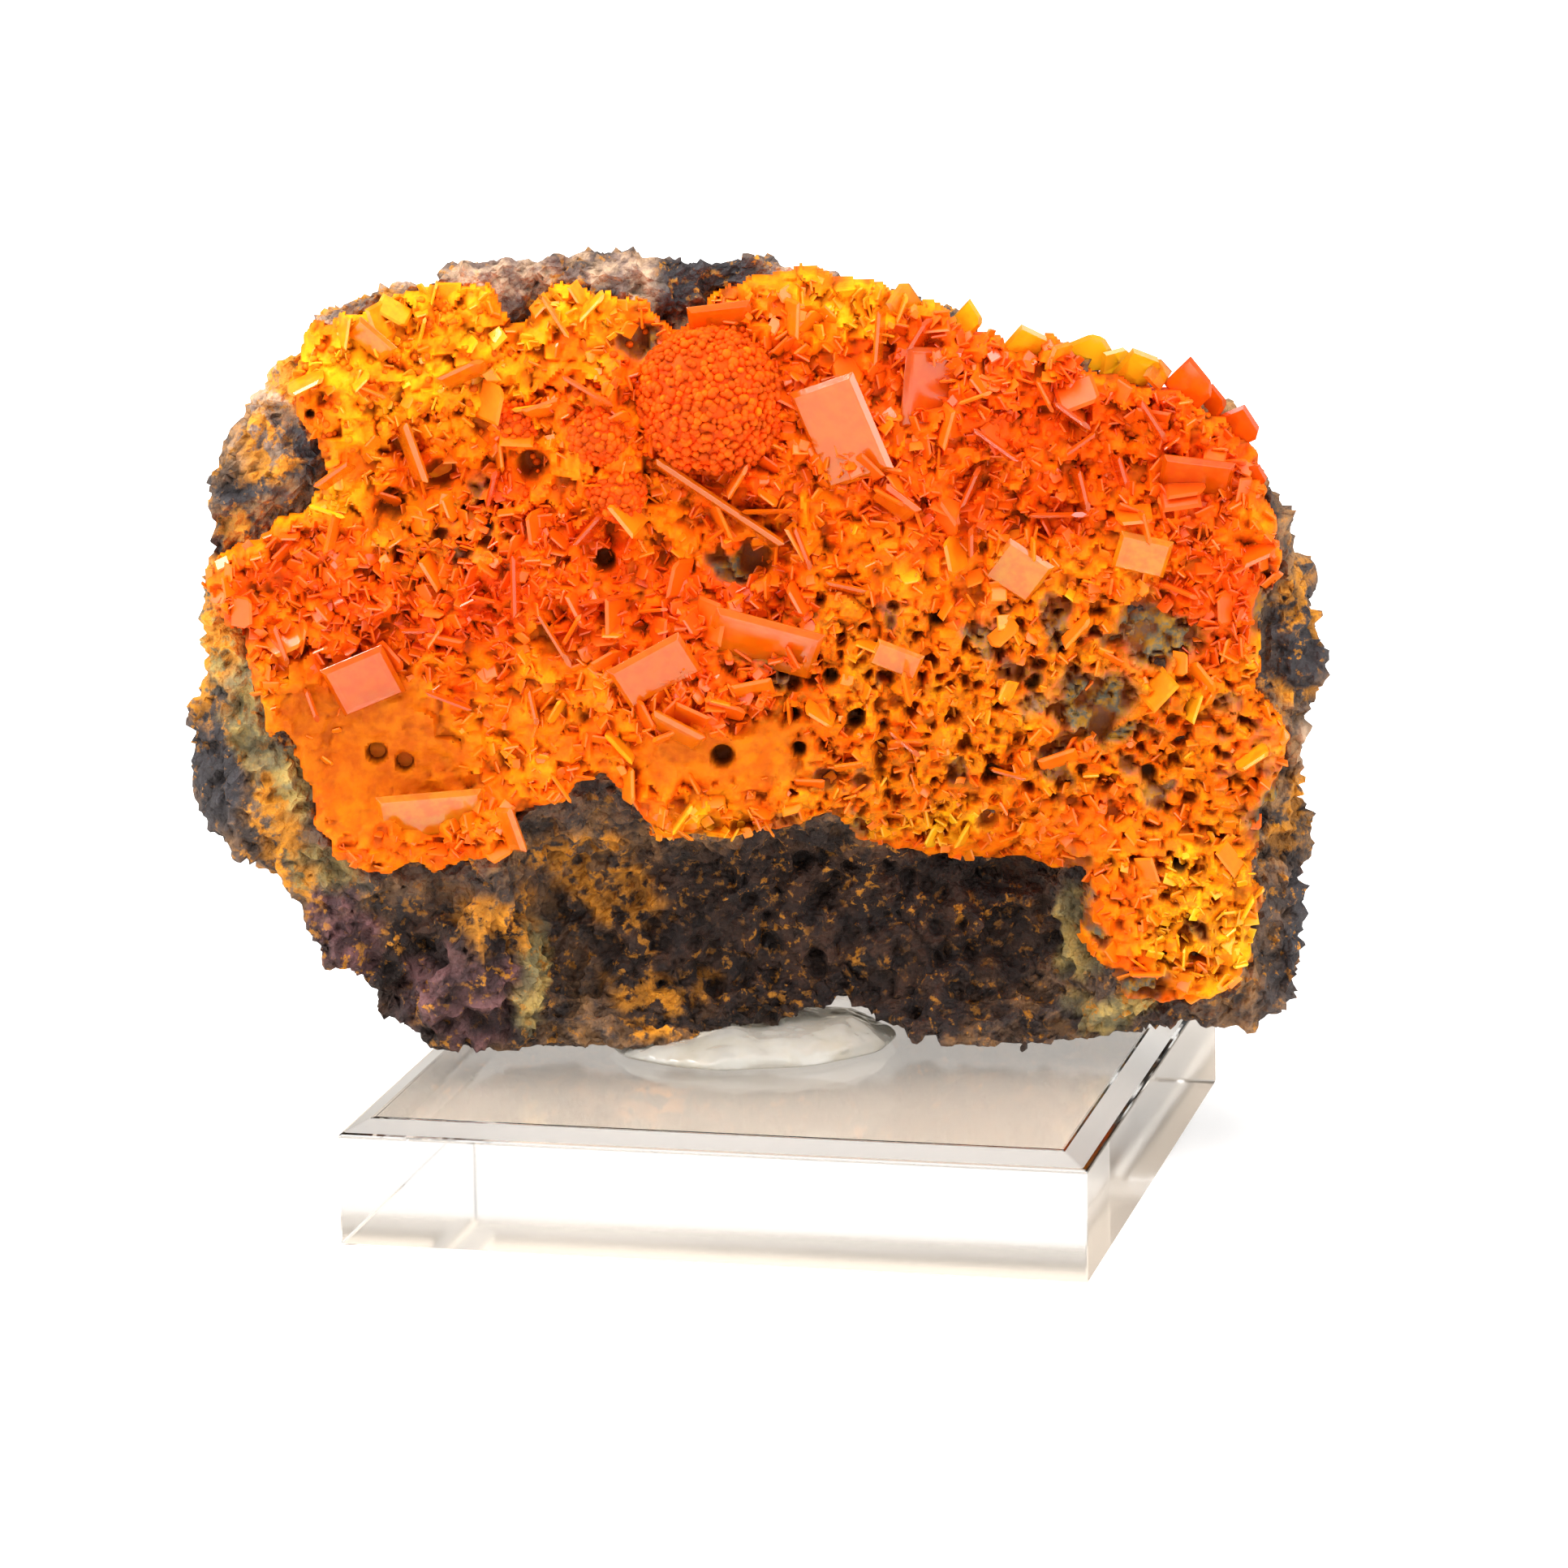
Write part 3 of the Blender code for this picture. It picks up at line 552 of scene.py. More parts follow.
low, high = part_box("display_base")
deselect_all()
side_height = high.z - low.z - BASE_BEVEL_DOWN
bpy.ops.mesh.primitive_cube_add(size=1.0, location=(0.0, 0.0, low.z + side_height / 2.0))
base = bpy.context.object
base.name = "acrylic_base"
base.scale = (high.x - low.x, high.y - low.y, side_height)
bpy.ops.object.transform_apply(location=True, rotation=False, scale=True)
bpy.ops.object.mode_set(mode="EDIT")
select_faces(base, lambda middle, normal: normal.z > 0.9)
bpy.ops.mesh.extrude_region_move(TRANSFORM_OT_translate={"value": (0.0, 0.0, BASE_BEVEL_DOWN)})
shrink = 1.0 - 2.0 * BASE_BEVEL_IN / (high.x - low.x)
bpy.ops.transform.resize(value=(shrink, shrink, 1.0))
bpy.ops.object.mode_set(mode="OBJECT")
apply_modifier(
    base, "BEVEL", width=BASE_POLISH, segments=2, limit_method="ANGLE", angle_limit=math.radians(20)
)
bpy.ops.object.shade_flat()

material, tree, shader = new_material(
    "clear acrylic", Base_Color=(0.97, 0.95, 0.92, 1.0), IOR=1.49, Transmission_Weight=1.0
)
where = node(tree, "ShaderNodeTexCoord")
apart = node(tree, "ShaderNodeSeparateXYZ")
tree.links.new(where.outputs["Object"], apart.inputs[0])
across, deep = (link_maths(tree, "ABSOLUTE", apart.outputs[axis], 0.0) for axis in "XY")
aside = link_maths(tree, "MAXIMUM", across, deep)
past_top = link_maths(tree, "GREATER_THAN", aside, (high.x - low.x) / 2.0 - BASE_BEVEL_IN + BASE_POLISH)
over_side = link_maths(tree, "GREATER_THAN", apart.outputs["Z"], low.z + side_height + BASE_POLISH)
on_bevel = multiply(tree, past_top, over_side)
satin = multiply(tree, on_bevel, BEVEL_SATIN)
tree.links.new(link_maths(tree, "ADD", satin, TOP_SATIN), shader.inputs["Roughness"])
scratches = add_mottle(tree, 90.0)
add_bump(tree, shader, scratches.outputs["Fine"], 0.00001, 0.15)
finish_piece(base, material, "acrylic", "display_base")

# %% [markdown]
# The mounting tack is a soft clear putty with a milky cast. It was pressed under the rock by hand,
# so it has thumb-sized dents, a thin squeezed rim and a rounded bump in the rock's notch. A fine
# remesh of the plain solid, pushed about by smooth noise, gives the dents.

# %% Mounting tack
TACK_VOXEL = 0.3 * MM
TACK_DENT = 0.35
TACK_DENT_SIZE = 3.2
TACK_FOOT, TACK_TOP = 13.1, 14.0


def edit_all(operator, **settings):
    """Runs one operator of edit mode on the whole of the active mesh."""
    bpy.ops.object.mode_set(mode="EDIT")
    bpy.ops.mesh.select_all(action="SELECT")
    operator(**settings)
    bpy.ops.object.mode_set(mode="OBJECT")


def merged_copy(name, source):
    """A copy of a solid of the frame whose loose triangles are joined at their corners."""
    copy = source.copy()
    copy.data = source.data.copy()
    copy.name = name
    copy.data.name = name
    copy.parent = None
    for key in list(copy.keys()):
        del copy[key]
    bpy.context.scene.collection.objects.link(copy)
    activate(copy)
    edit_all(bpy.ops.mesh.remove_doubles, threshold=1e-7)
    copy.data.materials.clear()
    return copy


tack = merged_copy("clear_tack", frame["nodes"]["mounting_putty"])
apply_modifier(tack, "REMESH", mode="VOXEL", voxel_size=TACK_VOXEL, use_smooth_shade=True)
apply_modifier(tack, "SMOOTH", factor=0.5, iterations=6)
points, normals = read_points(tack.data), read_normals(tack.data)
dents = smooth_noise(points, TACK_DENT_SIZE, 5, 3) * smooth_step(points[:, 2], TACK_FOOT, TACK_TOP)
write_points(tack.data, points + normals * (TACK_DENT * dents)[:, None])
bpy.ops.object.shade_smooth()

material, tree, shader = new_material("clear tack", Roughness=0.12, IOR=1.48, Transmission_Weight=0.7)
milk = add_mottle(tree, 160.0, 0.35, 0.7)
tree.links.new(
    blend_colours(tree, milk.outputs["Mask"], (0.97, 0.95, 0.88), (0.90, 0.84, 0.70)),
    shader.inputs["Base Color"],
)
add_bump(tree, shader, milk.outputs["Fine"], 0.0001, 0.3)
finish_piece(tack, material, "tack", "mounting_putty")

# %% [markdown]
# The matrix is the rock that the crystals grew on. In front, under the crust, it is a dark brown
# gossan full of small holes, with yellow-ochre specks. Round the rim it shows grey, purple and pale
# layers. A voxel remesh gives the plain solid an even skin, which cell noise then breaks into chips.
# Tips that would hang down into the base are shortened.

# %% Matrix rock: shape
ROCK_VOXEL = 0.6 * MM
ROCK_CHIPS = [
    # size, height, slope
    (7.0, 0.8, 0.8),
    (3.4, 0.75, 1.0),
    (1.8, 0.5, 1.1),
    (1.1, 0.3, 1.2),
]
VUG_ZONE = [(2.8, 25.0, 31.0, 13.0), (-34.9, 21.4, 14.9, 9.2)]
VUG_SIZE = 3.0
VUG_DEPTH = 1.6
GRIT = 0.25
TIP_TOP, TIP_LENGTH = 14.2, 0.35

rock = merged_copy("gossan_rock", frame["nodes"]["matrix_rock"])
apply_modifier(rock, "REMESH", mode="VOXEL", voxel_size=ROCK_VOXEL)
apply_modifier(rock, "SMOOTH", factor=0.5, iterations=4)
points, normals = read_points(rock.data), read_normals(rock.data)
push = np.zeros(len(points))
for number, (size, height, slope) in enumerate(ROCK_CHIPS):
    push += height * chips(points, size, 40 + 20 * number, slope)
push += GRIT * smooth_noise(points, 1.6, 9, 2)
near_hole, _, _ = cell_noise(points, VUG_SIZE, 77)
vuggy = spots(points[:, 0], points[:, 2], VUG_ZONE) * smooth_step(-points[:, 1], -6.0, 0.0)
vug = 1.0 - smooth_step(near_hole, 0.1, 0.5)
push -= VUG_DEPTH * vug * (0.25 + 0.75 * vuggy)
points += normals * push[:, None]
points[:, 2] = np.where(points[:, 2] < TIP_TOP, TIP_TOP + TIP_LENGTH * (points[:, 2] - TIP_TOP), points[:, 2])
write_points(rock.data, points)
print("rock vertices:", len(points), "lowest:", points[:, 2].min().round(2))

# %% [markdown]
# The rock's tones lie in zones, and each zone becomes a mask: pale pink-grey rock along the top,
# dark charcoal lumps, an ochre stain with a ragged edge, and grey-green layers on the left. The
# material then mixes named colours by these masks and breaks their edges with finer noise.

# %% Matrix rock: zones
PALE_ROCK = [
    (-28.9, 94.7, 7.4, 3.4), (-15.8, 94.9, 6.6, 2.2), (3.9, 94.6, 5.8, 2.4), (-53.3, 80.2, 3.0, 4.2),
    (-39.6, 93.8, 5.0, 2.2), (-49.1, 72.0, 1.4, 1.0), (52.2, 43.4, 1.8, 5.0), (-46.5, 90.5, 4.5, 4.0),
    (-51.5, 85.5, 3.5, 3.5),
]
CHARCOAL_ROCK = [
    (-49.0, 78.0, 2.3, 4.2), (-55.1, 73.4, 3.5, 2.9), (-6.8, 93.9, 6.2, 3.4), (52.3, 56.1, 3.5, 5.9),
    (51.5, 25.6, 2.8, 10.1), (-59.4, 44.5, 3.0, 8.4), (-13.4, 87.2, 2.1, 2.9), (-20.0, 93.0, 3.0, 1.5),
]
OCHRE_ROCK = [
    (-52.5, 77.5, 3.0, 4.2), (-56.4, 70.1, 3.3, 1.8), (-58.2, 60.0, 2.4, 8.0), (-21.6, 33.2, 5.1, 4.6),
    (-30.5, 27.8, 4.1, 3.4), (-51.9, 35.0, 2.3, 4.2), (-18.0, 28.5, 4.1, 3.4), (-14.0, 18.9, 5.0, 2.5),
    (-44.5, 92.5, 7.0, 2.5), (-50.5, 86.5, 3.0, 4.0),
    (52.7, 51.0, 2.5, 1.7), (52.8, 59.5, 2.2, 4.0), (51.5, 38.0, 2.2, 5.0), (-59.5, 54.0, 2.4, 7.0),
    (-54.0, 41.0, 2.2, 5.0), (-49.5, 31.0, 2.0, 3.0),
]
GREY_GREEN_ROCK = [
    (-57.5, 58.0, 3.2, 6.0), (-54.5, 50.4, 3.6, 6.0), (-51.0, 42.7, 3.4, 6.0), (-47.8, 33.2, 3.3, 3.4),
    (-26.9, 21.8, 2.0, 5.9), (29.4, 25.1, 2.0, 5.0), (35.2, 18.1, 5.8, 1.8),
]
MAUVE_ROCK = [
    (-46.0, 24.7, 3.5, 3.5), (-34.0, 20.2, 7.4, 5.0), (-25.5, 95.2, 5.0, 2.0), (-47.9, 29.0, 2.5, 2.5),
    (52.3, 29.8, 1.7, 2.5),
]

ROCK_WANDER = 2.0
u, v, z = points.T
ragged = np.stack([smooth_noise(points, 4.0, 60 + k, 3) for k in range(2)])
zone_u, zone_z = u + ROCK_WANDER * ragged[0], z + ROCK_WANDER * ragged[1]
front_half = smooth_step(-v, -18.0, -6.0)
for name, rows, share in (
    ("pale", PALE_ROCK, 1.0), ("charcoal", CHARCOAL_ROCK, front_half), ("ochre", OCHRE_ROCK, front_half),
    ("grey_green", GREY_GREEN_ROCK, 1.0), ("mauve", MAUVE_ROCK, 1.0), ("gossan", VUG_ZONE, front_half),
):
    write_mask(rock.data, name, spots(zone_u, zone_z, rows) * share)
# This mask is painted shade: the further chips and vugs push a point in, the darker its colour.
write_mask(rock.data, "hollow", np.clip(0.5 - push * 0.6, 0.0, 1.0))
print("masks on the rock:", [layer.name for layer in rock.data.attributes if layer.data_type == "FLOAT"])

# %% [markdown]
# Gossan is iron-stained, dull and porous. Its brown is mixed from three tones by mottles of two
# sizes, its ochre specks lie in clusters, and its hollows get painted shade: the further a point is
# pushed in, the darker its colour. A strong grain in the bump gives the sandy face, which would
# take too many triangles as a shape.

# %% Matrix rock: finish
ROCK_TONES = [
    # mask, light tone, dark tone
    ("gossan", (0.060, 0.026, 0.014), (0.018, 0.010, 0.009)),
    ("grey_green", (0.54, 0.37, 0.10), (0.25, 0.205, 0.090)),
    ("mauve", (0.20, 0.085, 0.085), (0.060, 0.026, 0.028)),
    ("pale", (0.58, 0.38, 0.24), (0.22, 0.14, 0.11)),
]
material, tree, shader = new_material("gossan", Roughness=0.78)
blotch = add_mottle(tree, 130.0, 0.38, 0.62)
patches = add_mottle(tree, 330.0, 0.40, 0.60)
specks = add_mottle(tree, 850.0, 0.55, 0.62)
clusters = add_mottle(tree, 190.0, 0.40, 0.62)
stain = add_mottle(tree, 430.0, 0.42, 0.52)
brown = blend_colours(tree, blotch.outputs["Mask"], (0.38, 0.190, 0.068), (0.16, 0.094, 0.060))
brown = blend_colours(tree, patches.outputs["Mask"], brown, (0.072, 0.052, 0.044))
colour = brown
for name, light, deep in ROCK_TONES:
    tone = blend_colours(tree, patches.outputs["Mask"], light, deep)
    colour = blend_colours(tree, name, colour, tone)
colour = blend_colours(tree, "charcoal", colour, (0.052, 0.046, 0.050))
ochre_share = multiply(tree, "ochre", stain.outputs["Mask"])
colour = blend_colours(tree, ochre_share, colour, (0.80, 0.30, 0.012))
sprinkled = multiply(tree, specks.outputs["Mask"], clusters.outputs["Mask"])
colour = blend_colours(tree, sprinkled, colour, (0.62, 0.24, 0.015))
# Painted shade: the rock's hollows are darkened nearly to black.
shade_and_speckle = multiply(tree, "hollow", 0.7)
colour = blend_colours(tree, shade_and_speckle, colour, (0.010, 0.006, 0.005))
tree.links.new(colour, shader.inputs["Base Color"])
grain = add_grain(tree, 1400.0)
add_bump(tree, shader, grain.outputs["Height"], 0.0007, 0.9)
finish_piece(rock, material, "matrix", "matrix_rock")

# %% [markdown]
# The crust is mimetite and wulfenite grown together in one skin, two to four millimetres thick,
# with a wavy lower lip. It could be sculpted, but its relief is regular enough to be worked out: a
# fine grid takes the depth of the rock behind it, gets its thickness, and then its ridges, beads,
# holes and named pits, all towards the viewer. First the rock's front is measured with rays.

# %% Crust: depth of the rock behind it
CRUST_CELL = 0.3
CRUST_U = (-62.4, 54.0)
CRUST_Z = (15.0, 99.0)
MEASURE_STEP = 4
RAY_START, MISSED_DEPTH = -60.0, -8.0
CRUST_GAP = 0.3
CRUST_THICKNESS = 2.9
ROCK_SLOPE = 4.5
CRUST_OVERHANG = 0.6
CRUST_EDGE = [
    (-50.0, 84.5), (-47.0, 90.0), (-42.0, 92.0), (-35.5, 94.0), (-29.5, 94.0), (-26.5, 90.5),
    (-22.0, 94.0), (-13.5, 93.0), (-10.5, 89.5), (-3.0, 94.5), (3.0, 95.5), (11.0, 94.5),
    (19.0, 91.5), (27.0, 87.5), (33.5, 86.0), (39.0, 85.5), (43.5, 82.5), (46.5, 78.0),
    (48.0, 71.5), (50.5, 64.5), (48.5, 59.0), (47.5, 51.5), (50.5, 47.5), (50.0, 41.0),
    (47.5, 37.5), (47.5, 29.0), (46.5, 20.5), (41.0, 18.5), (34.5, 20.0), (30.5, 24.0),
    (29.5, 32.0), (18.0, 33.0), (12.0, 34.5), (7.0, 36.0), (5.0, 40.0), (1.5, 39.0),
    (-2.0, 36.5), (-8.5, 37.5), (-14.0, 36.5), (-15.5, 43.0), (-20.0, 43.5), (-26.5, 40.5),
    (-30.5, 36.0), (-34.5, 34.0), (-43.0, 34.0), (-47.0, 36.0), (-50.0, 44.5), (-53.0, 50.0),
    (-55.0, 58.0), (-58.0, 61.5), (-58.5, 65.0), (-55.5, 68.0), (-49.0, 71.0), (-46.5, 76.0),
    (-47.5, 80.0),
]


def specimen_tree(obj):
    """A tree for rays against a mesh, in specimen axes."""
    polygons = [tuple(p.vertices) for p in obj.data.polygons]
    return BVHTree.FromPolygons([Vector(p) for p in read_points(obj.data)], polygons)


def blur(grid, reach):
    """Softens a grid of values over a reach counted in its cells."""
    half = int(3 * reach)
    weights = np.exp(-0.5 * (np.arange(-half, half + 1) / reach) ** 2)
    weights /= weights.sum()
    for axis in (0, 1):
        padded = np.moveaxis(np.pad(grid, half, mode="edge"), axis, 0)
        size = padded.shape[0] - 2 * half
        summed = sum(w * padded[k:k + size] for k, w in enumerate(weights))
        grid = np.moveaxis(summed, 0, axis)
        side = [slice(None)] * 2
        side[1 - axis] = slice(half, -half)
        grid = grid[tuple(side)]
    return grid


def stretch(grid, shape):
    """Draws a coarse grid out to a finer one, with straight lines between its values."""
    for axis, size in enumerate(shape):
        place = np.linspace(0, grid.shape[axis] - 1, size)
        before = np.minimum(place.astype(int), grid.shape[axis] - 2)
        part = (place - before).reshape([-1 if k == axis else 1 for k in range(2)])
        grid = np.take(grid, before, axis) * (1 - part) + np.take(grid, before + 1, axis) * part
    return grid


rock_tree = specimen_tree(frame["nodes"]["matrix_rock"])
cells_u = round((CRUST_U[1] - CRUST_U[0]) / CRUST_CELL)
cells_z = round((CRUST_Z[1] - CRUST_Z[0]) / CRUST_CELL)
grid_u, grid_z = np.meshgrid(
    np.linspace(*CRUST_U, cells_u + 1), np.linspace(*CRUST_Z, cells_z + 1), indexing="ij"
)
coarse_u, coarse_z = (grid[::MEASURE_STEP, ::MEASURE_STEP] for grid in (grid_u, grid_z))
rough_front = np.zeros(coarse_u.shape)
backed = np.ones(coarse_u.shape)
for index in np.ndindex(coarse_u.shape):
    at = Vector((coarse_u[index], RAY_START, coarse_z[index]))
    hit = rock_tree.ray_cast(at, Vector((0.0, 1.0, 0.0)))[0]
    if hit is None:
        hit = rock_tree.find_nearest(Vector((at.x, MISSED_DEPTH, at.z)))[0]
        backed[index] = 0.0
    rough_front[index] = hit.y
rock_front = stretch(blur(rough_front, 1.1), grid_u.shape)
over_rock = (stretch(blur(backed, 1.5), grid_u.shape) - 0.5) * ROCK_SLOPE + CRUST_OVERHANG
print("rock front from", rock_front.min().round(1), "to", rock_front.max().round(1), "mm")

# %% [markdown]
# The crust isn't the same all over. The upper left is a granular yellow-orange mat, the upper right
# and the middle are deep orange-red with crowded tablets, the lower left is a smooth amber skin,
# and the right side is a sponge of small holes where the rock shows through. Each of these is a
# list of patches, with ragged edges.

# %% Crust: zones
ZONE_WANDER = 1.8
RED_CRUST = [
    (23.0, 79.9, 27.3, 12.6), (41.7, 76.3, 7.9, 10.9), (-6.6, 82.1, 10.7, 10.1), (-7.4, 57.3, 12.4, 10.9),
    (-44.1, 62.1, 15.7, 7.6), (-26.8, 65.9, 14.9, 8.4), (43.3, 61.4, 6.6, 7.6),
]
YELLOW_CRUST = [
    (-37.6, 87.5, 13.2, 9.2), (-21.3, 91.7, 9.9, 3.4), (11.8, 92.5, 12.4, 3.4), (32.8, 87.2, 5.0, 2.5),
    (42.4, 26.9, 7.0, 8.4), (12.0, 37.6, 9.1, 2.9), (-7.8, 38.8, 7.4, 3.4), (-46.2, 72.9, 5.0, 4.2),
    (21.5, 89.5, 4.1, 2.5),
]
AMBER_CRUST = [(-42.5, 46.6, 11.2, 9.2), (-6.0, 46.4, 9.1, 5.0)]
SPONGE_CRUST = [
    (29.3, 50.8, 21.5, 12.6), (5.6, 54.6, 12.4, 9.2), (41.6, 35.4, 9.1, 14.3), (10.4, 41.9, 13.2, 7.6),
    (-33.3, 69.4, 9.1, 4.2),
]
MAT_CRUST = [
    (-39.3, 86.7, 14.0, 10.1), (-18.4, 77.4, 9.9, 7.6), (31.1, 76.5, 16.5, 9.2), (-7.8, 82.1, 9.9, 9.2),
]
BARE_ROCK = [
    (38.4, 57.2, 5.0, 3.2), (31.4, 51.4, 4.4, 3.8), (20.1, 59.4, 2.3, 1.5), (49.1, 37.6, 2.8, 5.0),
    (26.9, 45.6, 2.5, 2.0), (-13.7, 88.2, 2.1, 2.9), (32.7, 47.6, 5.8, 1.1), (34.2, 21.3, 5.0, 2.2),
    (30.1, 29.5, 1.8, 4.2), (48.3, 26.6, 1.7, 5.0), (48.3, 59.5, 1.5, 3.4), (-5.2, 66.2, 3.3, 1.8),
]
MIMETITE_BALLS = [(-7.6, 82.4, 7.8), (-18.5, 79.4, 2.8), (-16.8, 73.6, 2.8), (-26.8, 80.4, 2.2)]
CRUST_PITS = [
    # u, z, radius, depth
    (-42.0, 46.3, 1.1, 3.0), (-39.2, 45.3, 1.0, 3.0), (-46.6, 85.3, 0.6, 1.4), (-47.4, 81.8, 0.6, 1.4),
    (-39.7, 72.2, 1.9, 1.8), (-34.8, 75.2, 1.9, 2.0), (-25.4, 76.0, 1.9, 1.8), (-18.3, 66.4, 1.3, 2.4),
    (-3.1, 66.1, 2.0, 2.4), (-6.8, 46.9, 1.3, 2.6), (4.3, 54.6, 0.9, 2.2), (6.7, 50.3, 1.1, 2.4),
    (1.0, 47.2, 0.8, 2.0), (0.6, 51.0, 0.8, 2.0), (15.1, 60.1, 0.9, 2.2), (24.6, 53.0, 0.9, 2.2),
    (31.6, 48.1, 1.5, 2.2), (20.5, 43.8, 1.0, 2.0), (36.5, 43.0, 0.9, 2.0), (39.5, 33.9, 0.9, 2.0),
]


def edge_distance(u, z, outline):
    """How far each point is inside a closed outline, less than 0 outside it."""
    closest = np.full(np.shape(u), 1e9)
    crossings = np.zeros(np.shape(u), int)
    for (u0, z0), (u1, z1) in zip(outline, outline[1:] + outline[:1]):
        run_u, run_z = u1 - u0, z1 - z0
        part = np.clip(((u - u0) * run_u + (z - z0) * run_z) / (run_u**2 + run_z**2), 0.0, 1.0)
        closest = np.minimum(closest, np.hypot(u - u0 - part * run_u, z - z0 - part * run_z))
        spans = (z0 > z) != (z1 > z)
        crossings += spans & (u < u0 + (z - z0) * run_u / (run_z or 1e-9))
    return np.where(crossings % 2 == 1, closest, -closest)


flat_points = np.stack([grid_u.ravel(), grid_z.ravel()], 1)


def crust_noise(size, seed, octaves=1):
    return smooth_noise(flat_points, size, seed, octaves).reshape(grid_u.shape)


wander_u = grid_u + ZONE_WANDER * crust_noise(5.0, 101, 3)
wander_z = grid_z + ZONE_WANDER * crust_noise(5.0, 111, 3)
red, yellow, amber, sponge, mat, bare = (
    spots(wander_u, wander_z, rows)
    for rows in (RED_CRUST, YELLOW_CRUST, AMBER_CRUST, SPONGE_CRUST, MAT_CRUST, BARE_ROCK)
)
bare = np.maximum(bare, 0.85 * sponge * smooth_step(crust_noise(3.4, 301, 3), 0.42, 0.75))
hue = np.clip(0.40 + 0.25 * yellow - 0.26 * red + 0.06 * sponge + 0.16 * crust_noise(2.4, 121, 3), 0.0, 1.0)
print("share of the grid that is sponge:", sponge.mean().round(2))

# %% [markdown]
# Now the relief itself. Crossing ridges stand for blades that have grown into one another, beads for
# mimetite grains, and holes of two sizes for the sponge. The amber skin keeps only a little of it.
# The hollows are found by comparing the relief with a blurred copy; they and the named pits get painted shade
# in the colour later.

# %% Crust: relief
RIDGE_HEIGHT = 1.3
SWELL_HEIGHT, GRIT_HEIGHT = 0.7, 0.16
CRUMBS = [
    # size, height, slope, seed
    (2.9, 1.0, 1.2, 211),
    (1.4, 0.70, 1.2, 231),
]
BEAD_SIZE = 1.05
BEAD_HEIGHT = 0.34
HOLE_SIZE = 2.3
HOLE_DEPTH = 2.1
HOLE_WANDER = 0.34
HOLE_WIDEST, HOLE_VARIES = 0.7, 1.1
HOLE_SHARE, PORE_SHARE = 0.55, 0.5
PORE_SIZE = 1.25
PORE_DEPTH = 0.9
BARE_DEPTH = 1.3
LEAST_THICKNESS = 0.25
LIP_WIDTH = 1.6
PIT_SHADE = 1.3
EDGE_WANDER = 0.9

ridges = 0.6 * (1.0 - np.abs(crust_noise(4.6, 131))) ** 2 + 0.5 * (1.0 - np.abs(crust_noise(2.3, 137))) ** 2
relief = RIDGE_HEIGHT * (ridges - 0.55) * (1.0 - 0.45 * mat)
relief += SWELL_HEIGHT * crust_noise(9.0, 141, 2) + GRIT_HEIGHT * crust_noise(0.9, 151, 2)
for size, height, slope, seed in CRUMBS:
    relief += height * chips(flat_points, size, seed, slope).reshape(grid_u.shape)
near, _, closest = cell_noise(flat_points, BEAD_SIZE, 161)
beads = np.sqrt(np.clip(1.0 - (near / 0.62) ** 2, 0.0, 1.0)).reshape(grid_u.shape)
relief += BEAD_HEIGHT * beads * np.clip(0.35 + mat + 0.5 * sponge, 0.0, 1.0)
astray = [smooth_noise(flat_points, 1.0, seed, 2) for seed in (173, 175)]
ragged_points = flat_points + HOLE_WANDER * np.stack(astray, 1)
near, _, closest = cell_noise(ragged_points, HOLE_SIZE, 171)
near = near * (HOLE_WIDEST + HOLE_VARIES * cell_random(closest, 5))
open_hole = (cell_random(closest, 3) < HOLE_SHARE) * (1.0 - smooth_step(near, 0.14, 0.40))
holes = open_hole.reshape(grid_u.shape) * np.clip(0.12 + sponge - 0.5 * mat, 0.0, 1.0)
near, _, closest = cell_noise(ragged_points, PORE_SIZE, 181)
open_pore = (cell_random(closest, 4) < PORE_SHARE) * (1.0 - smooth_step(near, 0.12, 0.42))
pores = open_pore.reshape(grid_u.shape) * np.clip(0.15 + sponge, 0.0, 1.0)
relief -= HOLE_DEPTH * holes + PORE_DEPTH * pores
relief = relief * (1.0 - 0.72 * amber) + 0.25 * amber
relief -= BARE_DEPTH * bare
# Painted shade for the named pits, strongest in the smaller ones; the same mask keeps tablets out of them.
pits = np.zeros(grid_u.shape)
for at_u, at_z, radius, depth in CRUST_PITS:
    distance = np.hypot(grid_u - at_u, grid_z - at_z) / radius
    opening = 1.0 - smooth_step(distance, 0.55, 1.1)
    pits = np.maximum(pits, opening * min(1.0, PIT_SHADE / radius**2))
    relief -= depth * opening
inward = np.minimum(edge_distance(grid_u, grid_z, CRUST_EDGE), over_rock)
inward = inward + EDGE_WANDER * crust_noise(3.0, 191, 3)
rounding = np.sqrt(np.clip(1.0 - (1.0 - np.clip(inward / LIP_WIDTH, 0.0, 1.0)) ** 2, 0.0, 1.0))
thickness = np.maximum(CRUST_THICKNESS + relief, LEAST_THICKNESS)
crust_front = rock_front - CRUST_GAP - thickness * (0.15 + 0.85 * rounding)
# How far the crust dips below its blurred copy; the finish uses it to paint shade into the hollows.
cavity = np.clip((blur(thickness, 4.0) - thickness) / 0.9, 0.0, 1.0)
print("crust relief from", relief.min().round(1), "to", relief.max().round(1), "mm")

# %% [markdown]
# The grid primitive becomes the crust: each vertex is moved to its place, the vertices outside the
# crust's edge are deleted, and the rim is extruded back into the rock and closed. So the lip has a
# real thickness when it is seen from below or from the side.

# %% Crust: mesh
CRUST_ROOT = 1.2


def at_grid(grid, u, z):
    """A grid's value at any points, with straight lines between its cells."""
    place_u = np.clip((np.asarray(u) - CRUST_U[0]) / CRUST_CELL, 0, grid.shape[0] - 1.001)
    place_z = np.clip((np.asarray(z) - CRUST_Z[0]) / CRUST_CELL, 0, grid.shape[1] - 1.001)
    i, k = place_u.astype(int), place_z.astype(int)
    part_u, part_z = place_u - i, place_z - k
    low_row = grid[i, k] * (1 - part_u) + grid[i + 1, k] * part_u
    high_row = grid[i, k + 1] * (1 - part_u) + grid[i + 1, k + 1] * part_u
    return low_row * (1 - part_z) + high_row * part_z


